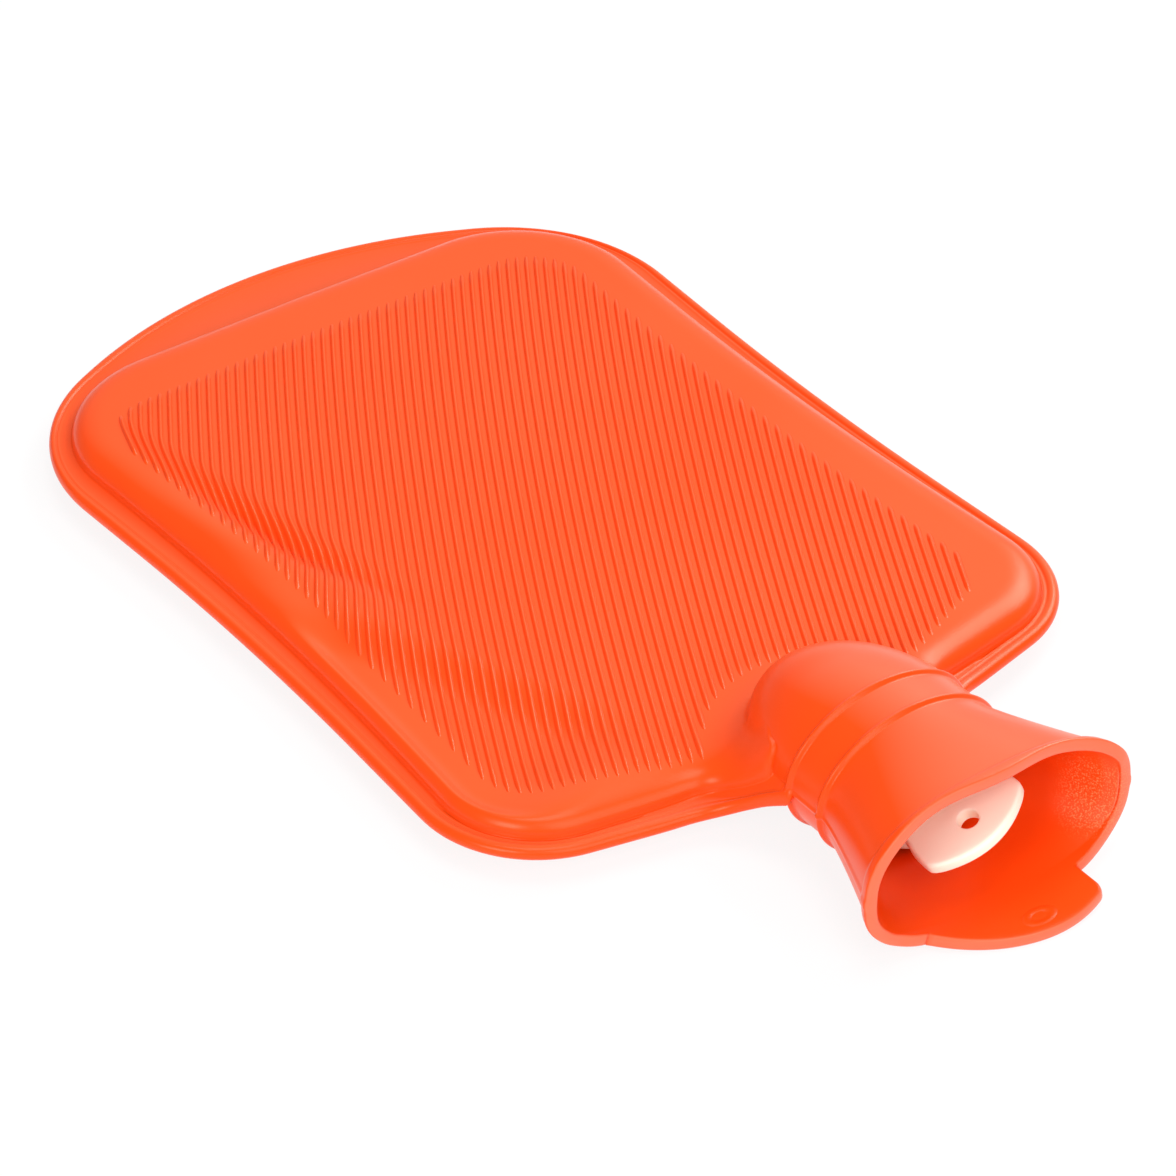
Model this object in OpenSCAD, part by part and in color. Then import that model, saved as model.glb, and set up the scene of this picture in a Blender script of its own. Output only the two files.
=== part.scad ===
// Hot water bottle: a one-piece moulded rubber bottle, nearly empty and lying on its back,
// with a threaded insert in its neck, a sealing washer and a screw stopper with a wing grip.
// X runs across the bottle, Y along it with the mouth at -Y, and Z up from the surface it lies on.

/* [Bag outline] */
// Half width of the seam flange at the tail corners
tail_half_width = 99; // [92:1:108]
// Half width of the seam flange at the waist
waist_half_width = 93.5; // [88:0.5:98]
// Half width of the seam flange at the shoulders
shoulder_half_width = 98.5; // [92:0.5:104]
// Length of the bag from the tail edge to the collar
bag_length = 288; // [265:1:310]
// Distance from the tail edge to the straight line between the tail corners
tail_bow = 33; // [26:1:38]
// Radius of the tail arc
tail_radius = 150; // [130:5:180]
// Radius of the tail corners
tail_corner_radius = 56; // [48:1:60]
// Distance from the tail edge to the shoulder corners
shoulder_distance = 259; // [250:1:264]
// Radius of the shoulder corners
shoulder_radius = 34; // [31:1:38]
// Fall of the shoulder line towards the neck
shoulder_fall = 14.5; // [13.5:0.5:17]

/* [Flange] */
// Width of the seam flange along the sides
flange_width = 8; // [7:0.5:10]
// Width of the seam flange in the middle of the tail
tail_flange_width = 23; // [18:1:27]
// Radius of the panel's tail corners
panel_corner_radius = 38; // [34:1:42]
// Thickness of the rounded bead at the flange's edge
bead_thickness = 3.8; // [3.2:0.1:4.4]
// Width of the rounded bead
bead_width = 4; // [3.4:0.1:4.4]
// Thickness of the flange between the bead and the panel
web_thickness = 2.2; // [1.8:0.1:2.8]

/* [Panels] */
// Height of the seam over the surface that the bottle lies on
seam_height = 8.5; // [8:0.1:9.5]
// Height of the front panel over the seam
panel_rise = 7.6; // [7.2:0.1:9]
// Width of the rounded shoulder around a panel
shoulder_band = 9.5; // [8:0.5:9.5]
// Fall of the panel's shoulder line towards the neck
panel_fall = 10.5; // [9:0.5:11]
// Wall thickness of the bag
wall = 2; // [1.6:0.1:2.2]

/* [Ribs] */
// Distance from one rib to the next
rib_pitch = 2.7; // [2.4:0.1:3.6]
// Height of a rib
rib_height = 0.7; // [0.4:0.1:1]
// Angle between the ribs and the bottle's length
rib_angle = 28; // [20:1:35]
// Distance from the panel's sides to the ends of the ribs
rib_margin = 13.5; // [13.5:0.5:18]
// Distance from the panel's tail edge to the ends of the ribs
rib_tail_margin = 22; // [16:0.5:28]
// Distance from the panel's shoulder line to the ends of the ribs
rib_shoulder_margin = 14; // [12:0.5:18]
// Sideways offset of the ribbed field from the middle of the panel
rib_offset = -3; // [-3:0.5:3]
// Radius of the ribbed field's corners
rib_corner_radius = 20; // [16:1:24]
// Radius of the plain round area about the neck
rib_neck_radius = 35; // [33:1:38]
// Distance from the collar to the middle of that area
rib_neck_distance = 14; // [13:1:17]
// Length over which a rib fades out at its ends
rib_fade = 6; // [4:0.5:9]

/* [Neck] */
// Height of the neck's axis over the surface that the bottle lies on
neck_height = 21.6; // [21.6:0.1:22.6]
// Half width of the oval collar
collar_half_width = 27.6; // [25:0.2:29]
// Half height of the oval collar
collar_half_height = 20.2; // [19.6:0.1:20.6]
// Length of the collar from the first raised ring to the second
collar_length = 12; // [10:0.5:14]
// Height of the collar's raised rings
ring_height = 1; // [0.6:0.1:1]
// Length of the soft dome where the neck runs into the bag
dome_length = 38; // [34:1:42]
// Wall thickness of the neck and the funnel
neck_wall = 2.6; // [2.2:0.1:2.8]

/* [Funnel] */
// Length of the funnel from the second ring to the mouth
funnel_length = 33; // [30:1:36]
// Half width of the mouth
mouth_half_width = 42; // [38:0.5:45]
// Half height of the mouth
mouth_half_height = 21.5; // [21:0.1:21.6]
// Squareness of the mouth's oval, where 2 is an ellipse
mouth_squareness = 2.6; // [2:0.1:3]
// Height of the bead along the mouth's lip
lip_bead = 0.8; // [0.4:0.1:1]
// Width of the bead along the mouth's lip
lip_bead_width = 3.4; // [2.5:0.1:4.5]
// Depth of the two shallow waves in the upper lip
lip_wave = 1.6; // [0:0.1:3]
// Distance by which the lower lip stands out beyond the upper one
lower_lip = 2.5; // [1:0.5:4]
// Length of the tongue beyond the lower lip
tongue_length = 12.5; // [9:0.5:15]
// Half width of the tongue
tongue_half_width = 22.5; // [18:0.5:25]
// Bow of the tongue's front edge
tongue_bow = 3; // [1:0.5:5]
// Radius of the tongue's corners
tongue_corner_radius = 2; // [1.5:0.1:3]

/* [Insert and washer] */
// Outer radius of the threaded insert
insert_radius = 15.2; // [14.6:0.1:15.4]
// Length of the insert
insert_length = 24; // [22:0.5:25]
// Height of the insert's retaining ribs
insert_rib = 0.8; // [0.5:0.1:1]
// Distance from the second raised ring to the seat
seat_depth = 4; // [3:0.5:6]
// Outer radius of the sealing washer
washer_radius = 15.8; // [15:0.1:16]
// Thickness of the sealing washer
washer_thickness = 2.5; // [2:0.1:3]
// Clearance between the washer's hole and the stopper's shank
washer_clearance = 0.35; // [0.3:0.05:0.6]

/* [Stopper] */
// Radius of the stopper's shank over the thread
shank_radius = 12; // [11:0.1:12.4]
// Length of the shank inside the insert
shank_length = 21; // [19:0.5:21.5]
// Radial clearance between the shank and the insert
thread_clearance = 0.05; // [0.02:0.01:0.1]
// Radius of the hollow core inside the shank
core_radius = 8.5; // [7:0.1:9]
// Radius of the stopper's flange
cap_radius = 16.4; // [15.8:0.1:16.6]
// Thickness of the stopper's flange
cap_thickness = 3; // [2.5:0.1:3.5]
// Half width of the wing at the flange
wing_root_half_width = 11; // [9:0.5:12]
// Half width of the wing at its widest
wing_half_width = 15.4; // [14:0.1:15.8]
// Height of the wing over the flange
wing_height = 23; // [20:0.5:24]
// Height of the wing's widest line over the flange
wing_shoulder = 10; // [8:0.5:12]
// Height of the wing's free corners over the flange
wing_corner = 18; // [16:0.5:18.5]
// Thickness of the wing
wing_thickness = 4; // [3:0.1:5]
// Radius of the hole through the wing
hole_radius = 2.7; // [2.2:0.1:3]
// Height of the hole over the flange
hole_height = 14.2; // [12:0.1:15]
// Turn of the wing about the neck's axis when screwed home
wing_turn = 24; // [0:1:90]

/* [Hidden] */
rubber = "tomato";
cream = "linen";
ivory = "antiquewhite";
grey = "dimgray";

waist_bend = 62;
neck_corner_offset = 7.5;
neck_corner_radius = 22;
tab_offset = 2;
panel_shoulder_gap = 3;
panel_shoulder_growth = 2.5;
panel_neck_offset = 8.3;
panel_neck_radius = 11;
panel_end_radius = 30;
panel_end_depth = 9.5;
panel_tail_bow = 1;
panel_tail_radius = 900;
neck_rise_reach = 35;
neck_rise_power = 4.2;
section_points = 40;
field_rows = 6;
pocket_clearance = 0.06;

total_length = bag_length + collar_length + funnel_length + lower_lip + tongue_length;
tail_y = total_length / 2;
collar_y = tail_y - bag_length;
ring_y = collar_y - collar_length;
seat_y = ring_y - seat_depth;
mouth_y = ring_y - funnel_length;
tail_corner_y = tail_y - tail_bow;
shoulder_y = tail_y - shoulder_distance;
waist_y = (tail_corner_y + shoulder_y) / 2;
panel_tail_y = tail_y - tail_flange_width;
panel_shoulder_y = shoulder_y + panel_shoulder_gap;
panel_neck_y = panel_shoulder_y - panel_fall;
field_centre = [0, (panel_tail_y + collar_y) / 2];
field_side = flange_width + rib_margin;
field_tail_y = panel_tail_y - rib_tail_margin;
field_shoulder_y = panel_shoulder_y + rib_shoulder_margin;

function clamp01(t) = max(0, min(1, t));
function ease(t) = let(u = clamp01(t)) u * u * (3 - 2 * u);
function unit(v) = v / norm(v);
function turned(v, a) = [v.x * cos(a) - v.y * sin(a), v.x * sin(a) + v.y * cos(a)];
function wrapped(list, i) = list[(i + len(list)) % len(list)];
function joined(lists) = [for (list = lists) for (item = list) item];
function power(v, p) = sign(v) * pow(abs(v), p);

// Arc of steps + 1 points that rounds the corner b of the path a-b-c
function corner_arc(a, b, c, r, steps) =
    let(
        u = unit(a - b),
        v = unit(c - b),
        half = acos(u * v) / 2,
        centre = b + unit(u + v) * r / sin(half),
        first = b + u * r / tan(half) - centre,
        side = cross([u.x, u.y], [v.x, v.y]) > 0 ? -1 : 1
    )
    [for (i = [0 : steps]) centre + turned(first, side * (180 - 2 * half) * i / steps)];

// Closed outline through corners [point, radius, steps], with two more points on each straight
function rounded_outline(corners) =
    let(
        n = len(corners),
        arcs = [
            for (i = [0 : n - 1])
                corner_arc(wrapped(corners, i - 1)[0], corners[i][0],
                    wrapped(corners, i + 1)[0], corners[i][1], corners[i][2])
        ]
    )
    joined([
        for (i = [0 : n - 1])
            let(
                from = arcs[i][len(arcs[i]) - 1],
                to = wrapped(arcs, i + 1)[0]
            )
            concat(arcs[i], [from + (to - from) / 3, from + (to - from) * 2 / 3])
    ]);

// Mirrored list of corners: the right half as given, then the left half backwards
function both_sides(middle, right) =
    concat(
        [middle],
        right,
        [for (i = [len(right) - 1 : -1 : 0]) [[-right[i][0].x, right[i][0].y], right[i][1], right[i][2]]]
    );

// Slope of the tail's straight stretches, so that they meet the tail corners and touch the tail arc
tail_slope = slope_touching(tail_bow, tail_half_width, tail_radius);
function slope_touching(bow, width, r, steps = 12) =
    steps == 0 ? bow / width
    : let(s = slope_touching(bow, width, r, steps - 1))
        (bow + r * (sqrt(1 + s * s) - 1)) / width;

// Corner at the waist, with the radius that bends the side over a set length on both sides of it
function waist_corner(tail, waist, shoulder) =
    let(half = acos(unit(tail - waist) * unit(shoulder - waist)) / 2)
    [waist, waist_bend * tan(half), 2];

tail_corner = [tail_half_width, tail_corner_y];
waist_middle = [waist_half_width, waist_y];
shoulder_corner = [shoulder_half_width, shoulder_y];
panel_tail_corner = [tail_half_width - flange_width, panel_tail_y];
panel_waist = [waist_half_width - flange_width, waist_y];
panel_shoulder = [shoulder_half_width - flange_width + panel_shoulder_growth, panel_shoulder_y];
field_tail_corner = [tail_half_width - field_side, field_tail_y];
field_waist = [waist_half_width - field_side, waist_y];
field_shoulder = [shoulder_half_width - field_side, field_shoulder_y];

// Outline of the seam flange, clockwise from the tail
flange_outline = rounded_outline(both_sides(
    [[0, tail_y + tail_radius * (1 / cos(atan(tail_slope)) - 1)], tail_radius, 10],
    [
        [tail_corner, tail_corner_radius, 7],
        waist_corner(tail_corner, waist_middle, shoulder_corner),
        [shoulder_corner, shoulder_radius, 7],
        [[collar_half_width + neck_corner_offset, shoulder_y - shoulder_fall], neck_corner_radius, 5],
        [[collar_half_width + tab_offset, collar_y - tab_offset], 0.2, 1]
    ]
));

// Outline of the foot of the two panels
panel_outline = rounded_outline(both_sides(
    [[0, panel_tail_y + panel_tail_bow], panel_tail_radius, 10],
    [
        [panel_tail_corner, panel_corner_radius, 7],
        waist_corner(panel_tail_corner, panel_waist, panel_shoulder),
        [panel_shoulder, shoulder_radius - flange_width + panel_shoulder_growth / 2, 7],
        [[collar_half_width + panel_neck_offset, panel_neck_y], panel_neck_radius, 5],
        [[collar_half_width * 0.7, panel_neck_y - panel_end_depth], panel_end_radius, 1]
    ]
));

panel_normals = [
    for (i = [0 : len(panel_outline) - 1])
        let(d = unit(wrapped(panel_outline, i + 1) - wrapped(panel_outline, i - 1)))
        [-d.y, d.x]
];

// The panel outline moved inwards by a distance, and kept clear of the round area about the neck
function panel_inset(inset) =
    [for (i = [0 : len(panel_outline) - 1]) panel_outline[i] - panel_normals[i] * inset];

function clear_of_neck(p) =
    let(
        reach = rib_neck_radius,
        over = abs(p.x) < reach ? sqrt(reach * reach - p.x * p.x) : 0
    )
    [p.x, abs(p.x) < reach ? max(p.y, collar_y + rib_neck_distance + over) : p.y];

// Height of the seam: level along the bag, and rising to the neck's axis at the collar
function seam_z(p) =
    let(d = norm([p.x, p.y - collar_y]) - collar_half_width)
    seam_height + (neck_height - seam_height) * pow(1 - clamp01(d / neck_rise_reach), neck_rise_power);

// Share of its full height that a panel has at a distance inside its edge
function shoulder_share(inset) = sqrt(1 - pow(1 - clamp01(inset / shoulder_band), 2.4));

function front_z(p, inset) = seam_z(p) + shoulder_share(inset) * panel_rise;
function back_z(p, inset) = seam_z(p) - shoulder_share(inset * 0.6) * seam_height;

function lifted(loop, z) = [for (p = loop) [p.x, p.y, seam_z(p) + z]];
function front_ring(inset) = [for (p = panel_inset(inset)) [p.x, p.y, front_z(p, inset)]];
function back_ring(inset) = [for (p = panel_inset(inset)) [p.x, p.y, back_z(p, inset)]];
function flange_share(i, width) = min(1, width / norm(panel_outline[i] - flange_outline[i]));
function flange_ring(width, z) =
    [
        for (i = [0 : len(flange_outline) - 1])
            let(p = flange_outline[i] + (panel_outline[i] - flange_outline[i]) * flange_share(i, width))
            [p.x, p.y, seam_z(p) + z]
    ];

// Faces between two loops of n points each that start at points a and b
function strip(a, b, n) =
    joined([
        for (i = [0 : n - 1])
            let(j = (i + 1) % n)
            [[a + i, b + i, b + j], [a + i, b + j, a + j]]
    ]);

// Bearings of a loop's points about the field's centre, rising from the first in order
function bearing(p) = atan2(p.y - field_centre.y, p.x - field_centre.x);
function bearings(loop) = [for (p = loop) bearing(p)];
function first_of(list) = search(min(list), list)[0];

// Faces between two loops with different counts, both counter-clockwise about the field's centre
function stitched(outer, outer_ids, inner, inner_ids) =
    let(
        no = len(outer),
        ni = len(inner),
        ob = bearings(outer),
        ib = bearings(inner),
        o0 = first_of(ob),
        i0 = first_of(ib),
        os = [for (k = [0 : no]) ob[(o0 + k) % no] + (k == no ? 360 : 0)],
        is = [for (k = [0 : ni]) ib[(i0 + k) % ni] + (k == ni ? 360 : 0)],
        om = [for (k = [0 : no - 1]) (os[k] + os[k + 1]) / 2],
        im = [for (k = [0 : ni - 1]) (is[k] + is[k + 1]) / 2],
        oid = [for (k = [0 : no - 1]) outer_ids[(o0 + k) % no]],
        iid = [for (k = [0 : ni - 1]) inner_ids[(i0 + k) % ni]]
    )
    concat(
        [
            for (k = [0 : ni - 1])
                let(near = len([for (m = om) if (m < im[k]) 1]) % no)
                [iid[k], iid[(k + 1) % ni], oid[near]]
        ],
        [
            for (k = [0 : no - 1])
                let(near = len([for (m = im) if (m < om[k]) 1]) % ni)
                [oid[k], iid[near], oid[(k + 1) % no]]
        ]
    );

// The ribbed field: its boundary, and three columns of points for each rib
field_plain = rounded_outline(both_sides(
    [[0, field_tail_y + panel_tail_bow], panel_tail_radius, 4],
    [
        [field_tail_corner, rib_corner_radius, 5],
        waist_corner(field_tail_corner, field_waist, field_shoulder),
        [field_shoulder, rib_corner_radius, 5],
        [[collar_half_width, field_shoulder_y - panel_fall], panel_end_radius, 1]
    ]
));
field_outline = [for (p = field_plain) clear_of_neck(p + [rib_offset, 0])];
rib_along = [sin(rib_angle), cos(rib_angle)];
rib_across = [cos(rib_angle), -sin(rib_angle)];
field_spans = [for (p = field_outline) (p - field_centre) * rib_across];
rib_first = ceil((min(field_spans) + rib_pitch) / rib_pitch);
rib_last = floor((max(field_spans) - rib_pitch) / rib_pitch);
rib_columns = [
    for (k = [rib_first : rib_last]) each [[k, 0], [k + 0.3, 1], [k + 0.6, 0]]
];

// Where the line across the field at an offset meets the boundary: the lowest and highest places
function crossings(offset) =
    let(
        n = len(field_outline),
        hits = [
            for (i = [0 : n - 1])
                let(
                    a = field_outline[i] - field_centre,
                    b = wrapped(field_outline, i + 1) - field_centre,
                    da = a * rib_across - offset,
                    db = b * rib_across - offset
                )
                if ((da <= 0 && db > 0) || (da > 0 && db <= 0))
                    (a + (b - a) * (da / (da - db))) * rib_along
        ]
    )
    [min(hits), max(hits)];

// Places of a column's points along the rib, close together where the rib fades
function column_places(span) =
    let(
        long = span[1] - span[0],
        fade = min(rib_fade, long / 4),
        inner = long - 2 * fade
    )
    [
        for (r = [0 : field_rows - 1])
            r == 0 ? span[0]
            : r == field_rows - 1 ? span[1]
            : span[0] + fade + inner * pow((r - 1) / (field_rows - 3), 1.5)
    ];

field_points = [
    for (c = rib_columns)
        let(places = column_places(crossings(c[0] * rib_pitch)))
        for (r = [0 : field_rows - 1])
            let(
                p = field_centre + rib_across * c[0] * rib_pitch + rib_along * places[r],
                raised = (r == 0 || r == field_rows - 1) ? 0 : c[1] * rib_height
            )
            [p.x, p.y, front_z(p, shoulder_band) + raised]
];

function field_id(column, row) = column * field_rows + row;
function field_faces(first) =
    joined([
        for (c = [0 : len(rib_columns) - 2], r = [0 : field_rows - 2])
            let(
                a = first + field_id(c, r),
                b = first + field_id(c + 1, r)
            )
            [[a, a + 1, b + 1], [a, b + 1, b]]
    ]);
// Numbers of the points round the field's edge, counter-clockwise
field_edge =
    let(last = len(rib_columns) - 1)
    concat(
        [for (c = [0 : last]) field_id(c, 0)],
        [for (r = [1 : field_rows - 1]) field_id(last, r)],
        [for (c = [last - 1 : -1 : 0]) field_id(c, field_rows - 1)],
        [for (r = [field_rows - 2 : -1 : 1]) field_id(0, r)]
    );

// The solid bag: flange, both panels and the ribbed field, as one closed surface
module bag_solid() {
    rings = [
        [for (p = panel_inset(shoulder_band)) [p.x, p.y, front_z(p, shoulder_band)]],
        front_ring(8.5),
        front_ring(5.5),
        front_ring(3),
        front_ring(1.2),
        lifted(panel_inset(0), web_thickness / 2 + 0.8),
        lifted(panel_inset(-0.3), web_thickness / 2),
        flange_ring(bead_width + 0.8, web_thickness / 2),
        flange_ring(bead_width, bead_thickness / 2 - 0.4),
        flange_ring(bead_width * 0.6, bead_thickness / 2),
        flange_ring(bead_width * 0.2, bead_thickness * 0.36),
        flange_ring(0, 0),
        flange_ring(bead_width * 0.2, -bead_thickness * 0.36),
        flange_ring(bead_width * 0.6, -bead_thickness / 2),
        flange_ring(bead_width + 0.8, -web_thickness / 2),
        lifted(panel_inset(0), -web_thickness / 2 - 0.4),
        back_ring(2),
        back_ring(6),
        back_ring(12),
        back_ring(20)
    ];
    n = len(flange_outline);
    count = len(rings);
    flat = [for (p = panel_inset(20)) field_centre + (p - field_centre) * 0.62];
    field_first = (count + 1) * n + 1;
    ring_points = joined(rings);
    flat_points = [for (p = flat) [p.x, p.y, 0]];
    points = concat(ring_points, flat_points, [[field_centre.x, field_centre.y, 0]], field_points);
    // The panel's outline runs clockwise, so the stitching takes it backwards
    outer_ids = [for (i = [n - 1 : -1 : 0]) i];
    inner_ids = [for (i = field_edge) field_first + i];
    faces = concat(
        joined([for (k = [0 : count - 1]) strip(k * n, (k + 1) * n, n)]),
        [for (i = [0 : n - 1]) [count * n + i, (count + 1) * n, count * n + (i + 1) % n]],
        field_faces(field_first),
        stitched([for (i = outer_ids) points[i]], outer_ids, [for (i = inner_ids) points[i]], inner_ids)
    );
    polyhedron(points = points, faces = faces, convexity = 6);
}

// The hollow inside the bag, one wall smaller than the bag
module bag_hollow() {
    edge = [for (p = panel_inset(wall + 0.2)) [p.x, p.y, seam_z(p)]];
    function ceiling(inset, share) =
        [
            for (p = panel_inset(inset))
                let(q = field_centre + (p - field_centre) * share)
                [q.x, q.y, front_z(q, inset) - wall]
        ];
    function bottom(inset, share) =
        [
            for (p = panel_inset(inset))
                let(q = field_centre + (p - field_centre) * share)
                [q.x, q.y, back_z(q, share < 1 ? 20 : inset) + wall]
        ];
    rings = [
        ceiling(20, 0.5),
        ceiling(20, 0.72),
        ceiling(20, 0.87),
        ceiling(20, 1),
        ceiling(10, 1),
        ceiling(5, 1),
        edge,
        bottom(8, 1),
        bottom(20, 1),
        bottom(20, 0.62)
    ];
    n = len(panel_outline);
    count = len(rings);
    points = concat(
        joined(rings),
        [[field_centre.x, field_centre.y, front_z(field_centre, 20) - wall]],
        [[field_centre.x, field_centre.y, wall]]
    );
    faces = concat(
        joined([for (k = [0 : count - 2]) strip(k * n, (k + 1) * n, n)]),
        [for (i = [0 : n - 1]) [count * n, i, (i + 1) % n]],
        [for (i = [0 : n - 1]) [(count - 1) * n + i, count * n + 1, (count - 1) * n + (i + 1) % n]]
    );
    polyhedron(points = points, faces = faces, convexity = 4);
}

// Oval section of the neck at y, with half sizes a and b and a squareness
function oval(y, a, b, square) =
    [
        for (i = [0 : section_points - 1])
            let(t = 360 * i / section_points)
            [a * power(cos(t), 2 / square), y, neck_height + b * power(sin(t), 2 / square)]
    ];

// Closed surface through a list of ovals, listed from the tail side to the mouth side
module loft(sections) {
    n = section_points;
    last = len(sections) - 1;
    faces = concat(
        joined([for (k = [0 : last - 1]) strip(k * n, (k + 1) * n, n)]),
        [[for (i = [0 : n - 1]) i]],
        [[for (i = [n - 1 : -1 : 0]) last * n + i]]
    );
    polyhedron(points = joined(sections), faces = faces, convexity = 4);
}

// Rounded nose of the dome, with its half sizes cut by a wall
function nose(cut) =
    [
        for (u = [9, 27, 45, 62, 78])
            oval(collar_y + (dome_length - cut) * cos(u),
                (collar_half_width - cut) * sin(u), (collar_half_height - cut) * sin(u), 2)
    ];

// Section of the collar with an added height
function collar_section(y, add) = oval(y, collar_half_width + add, collar_half_height + add, 2);

// A raised ring about the collar at y
function ring_sections(y) =
    [
        collar_section(y + 1.9, 0),
        collar_section(y + 0.8, ring_height),
        collar_section(y - 0.8, ring_height),
        collar_section(y - 1.9, 0)
    ];

// Section of the funnel at a share of its length, cut by a wall and raised by a bead
function funnel_section(t, cut, add = 0) =
    let(
        s = pow(clamp01(t), 1.15),
        a = collar_half_width + (mouth_half_width - collar_half_width) * s,
        b = collar_half_height + (mouth_half_height - lip_bead - collar_half_height) * s
    )
    oval(ring_y - 1.9 - (funnel_length - 1.9) * t, a - cut + add, b - cut + add,
        2 + (mouth_squareness - 2) * s);

bead_share = 1 - lip_bead_width / funnel_length;
tongue_share = 1 + (lower_lip + tongue_length + 2) / (funnel_length - 1.9);

module neck_solid() {
    loft(concat(
        nose(0),
        [collar_section(collar_y + 3.5, 0)],
        ring_sections(collar_y),
        ring_sections(ring_y),
        [for (t = [0.15, 0.35, 0.55, 0.75]) funnel_section(t, 0)],
        [
            funnel_section(bead_share - 0.03, 0),
            funnel_section(bead_share + 0.03, 0, lip_bead),
            funnel_section(1, 0, lip_bead),
            funnel_section(tongue_share, 0, lip_bead)
        ]
    ));
}

// The funnel's inside, from the seat to beyond the mouth
module funnel_hollow() {
    seat_section = oval(seat_y, collar_half_width - neck_wall + 0.4, collar_half_height - neck_wall, 2);
    loft(concat(
        [seat_section],
        [for (t = [0.2, 0.4, 0.6, 0.8, 1]) funnel_section(t, neck_wall)],
        [funnel_section(tongue_share + 0.1, neck_wall)]
    ));
}

// The dome's inside and the way from it to the insert
module dome_hollow() {
    insert_end = seat_y + insert_length;
    loft(concat(
        [for (s = nose(neck_wall)) if (s[0].y > insert_end + 4) s],
        [oval(insert_end + 3, collar_half_width - neck_wall - 3, collar_half_height - neck_wall - 3, 2)]
    ));
    neck_frame() translate([0, 0, -insert_length - 5]) cylinder(r = shank_radius + 1, h = 6, $fn = 48);
}

// Lip line of the upper half, at a place across the mouth
function upper_lip_y(x) = mouth_y + lip_wave * pow(sin(180 * clamp01(abs(x) / mouth_half_width)), 2);

// Lip line of the lower half beside the tongue
function lower_lip_y(x) =
    mouth_y - lower_lip * ease((mouth_half_width - abs(x)) / (mouth_half_width - tongue_half_width));

// Front edge of the tongue
function tongue_front_y(x) =
    mouth_y - lower_lip - tongue_length + tongue_bow * pow(x / tongue_half_width, 2);

trim_steps = 12;
trim_overlap = 0.7;
trim_half_width = mouth_half_width + 4;
trim_depth = tongue_length + lower_lip + 12;

// What is cut away in front of the upper lip
module upper_trim() {
    for (i = [0 : trim_steps - 1])
        hull()
            for (k = [i, i + 1])
                let(x = trim_half_width * (2 * k / trim_steps - 1))
                translate([x - trim_overlap / 2, upper_lip_y(x) - trim_depth, neck_height])
                cube([trim_overlap, trim_depth, mouth_half_height + 4]);
}

// What is cut away in front of the lower lip, on both sides of the tongue and before it
module lower_trim() {
    linear_extrude(neck_height)
    difference() {
        polygon(concat(
            [
                for (i = [-trim_steps : trim_steps])
                    let(x = trim_half_width * i / trim_steps)
                    [x, lower_lip_y(x)]
            ],
            [[trim_half_width, mouth_y - trim_depth], [-trim_half_width, mouth_y - trim_depth]]
        ));
        tongue_outline();
    }
}

module tongue_outline() {
    r = tongue_corner_radius;
    back = mouth_y + 5;
    hull() {
        for (side = [-1, 1], step = [0.2, 0.5, 0.8])
            translate([side * step * tongue_half_width, tongue_front_y(step * tongue_half_width) + r])
                circle(r, $fn = 16);
        for (side = [-1, 1]) {
            translate([side * (tongue_half_width - r), tongue_front_y(tongue_half_width) + r])
                circle(r, $fn = 16);
            translate([side * (tongue_half_width - r), back])
                circle(r, $fn = 16);
        }
    }
}

// Places things on the neck's axis, with Z out of the mouth from the seat
module neck_frame() {
    translate([0, seat_y, neck_height]) rotate([90, 0, 0]) children();
}

// Outside of the insert with its retaining ribs, grown by a clearance
module insert_outside(grow) {
    rib_places = [0.35, 0.7];
    rotate_extrude($fn = 56)
        polygon(concat(
            [[0, -insert_length - grow], [insert_radius + grow, -insert_length - grow]],
            joined([
                for (k = [len(rib_places) - 1 : -1 : 0])
                    let(z = -insert_length * rib_places[k])
                    [
                        [insert_radius + grow, z - 1.2 - grow],
                        [insert_radius + insert_rib + grow, z - 0.5],
                        [insert_radius + insert_rib + grow, z + 0.5],
                        [insert_radius + grow, z + 1.2 + grow]
                    ]
            ]),
            [[insert_radius + grow, 0], [0, 0]]
        ));
}

module bottle() {
    color(rubber)
    difference() {
        union() {
            bag_solid();
            neck_solid();
        }
        bag_hollow();
        dome_hollow();
        funnel_hollow();
        neck_frame() insert_outside(pocket_clearance);
        upper_trim();
        lower_trim();
    }
}

module neck_insert() {
    color(ivory)
    neck_frame()
    difference() {
        insert_outside(0);
        translate([0, 0, -insert_length - 1])
            cylinder(r = shank_radius + thread_clearance, h = insert_length + 2, $fn = 96);
    }
}

module sealing_washer() {
    color(grey)
    neck_frame()
    difference() {
        cylinder(r = washer_radius, h = washer_thickness, $fn = 96);
        translate([0, 0, -1])
            cylinder(r = shank_radius + washer_clearance, h = washer_thickness + 2, $fn = 96);
    }
}

// Face of the wing, with its height over the flange up the page
module wing_face() {
    edge_steps = 8;
    crown = wing_height - wing_corner;
    corner_x = wing_half_width - 2.4;
    difference() {
        polygon(concat(
            [[-wing_root_half_width, -0.5], [wing_root_half_width, -0.5]],
            [[wing_half_width, wing_shoulder], [wing_half_width, wing_corner - 1.6]],
            [
                for (i = [0 : edge_steps])
                    let(x = corner_x * (1 - 2 * i / edge_steps))
                    [x, wing_corner + 0.8 + (crown - 0.8) * (1 - pow(x / corner_x, 2))]
            ],
            [[-wing_half_width, wing_corner - 1.6], [-wing_half_width, wing_shoulder]]
        ));
        translate([0, hole_height]) circle(hole_radius, $fn = 48);
    }
}

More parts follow.
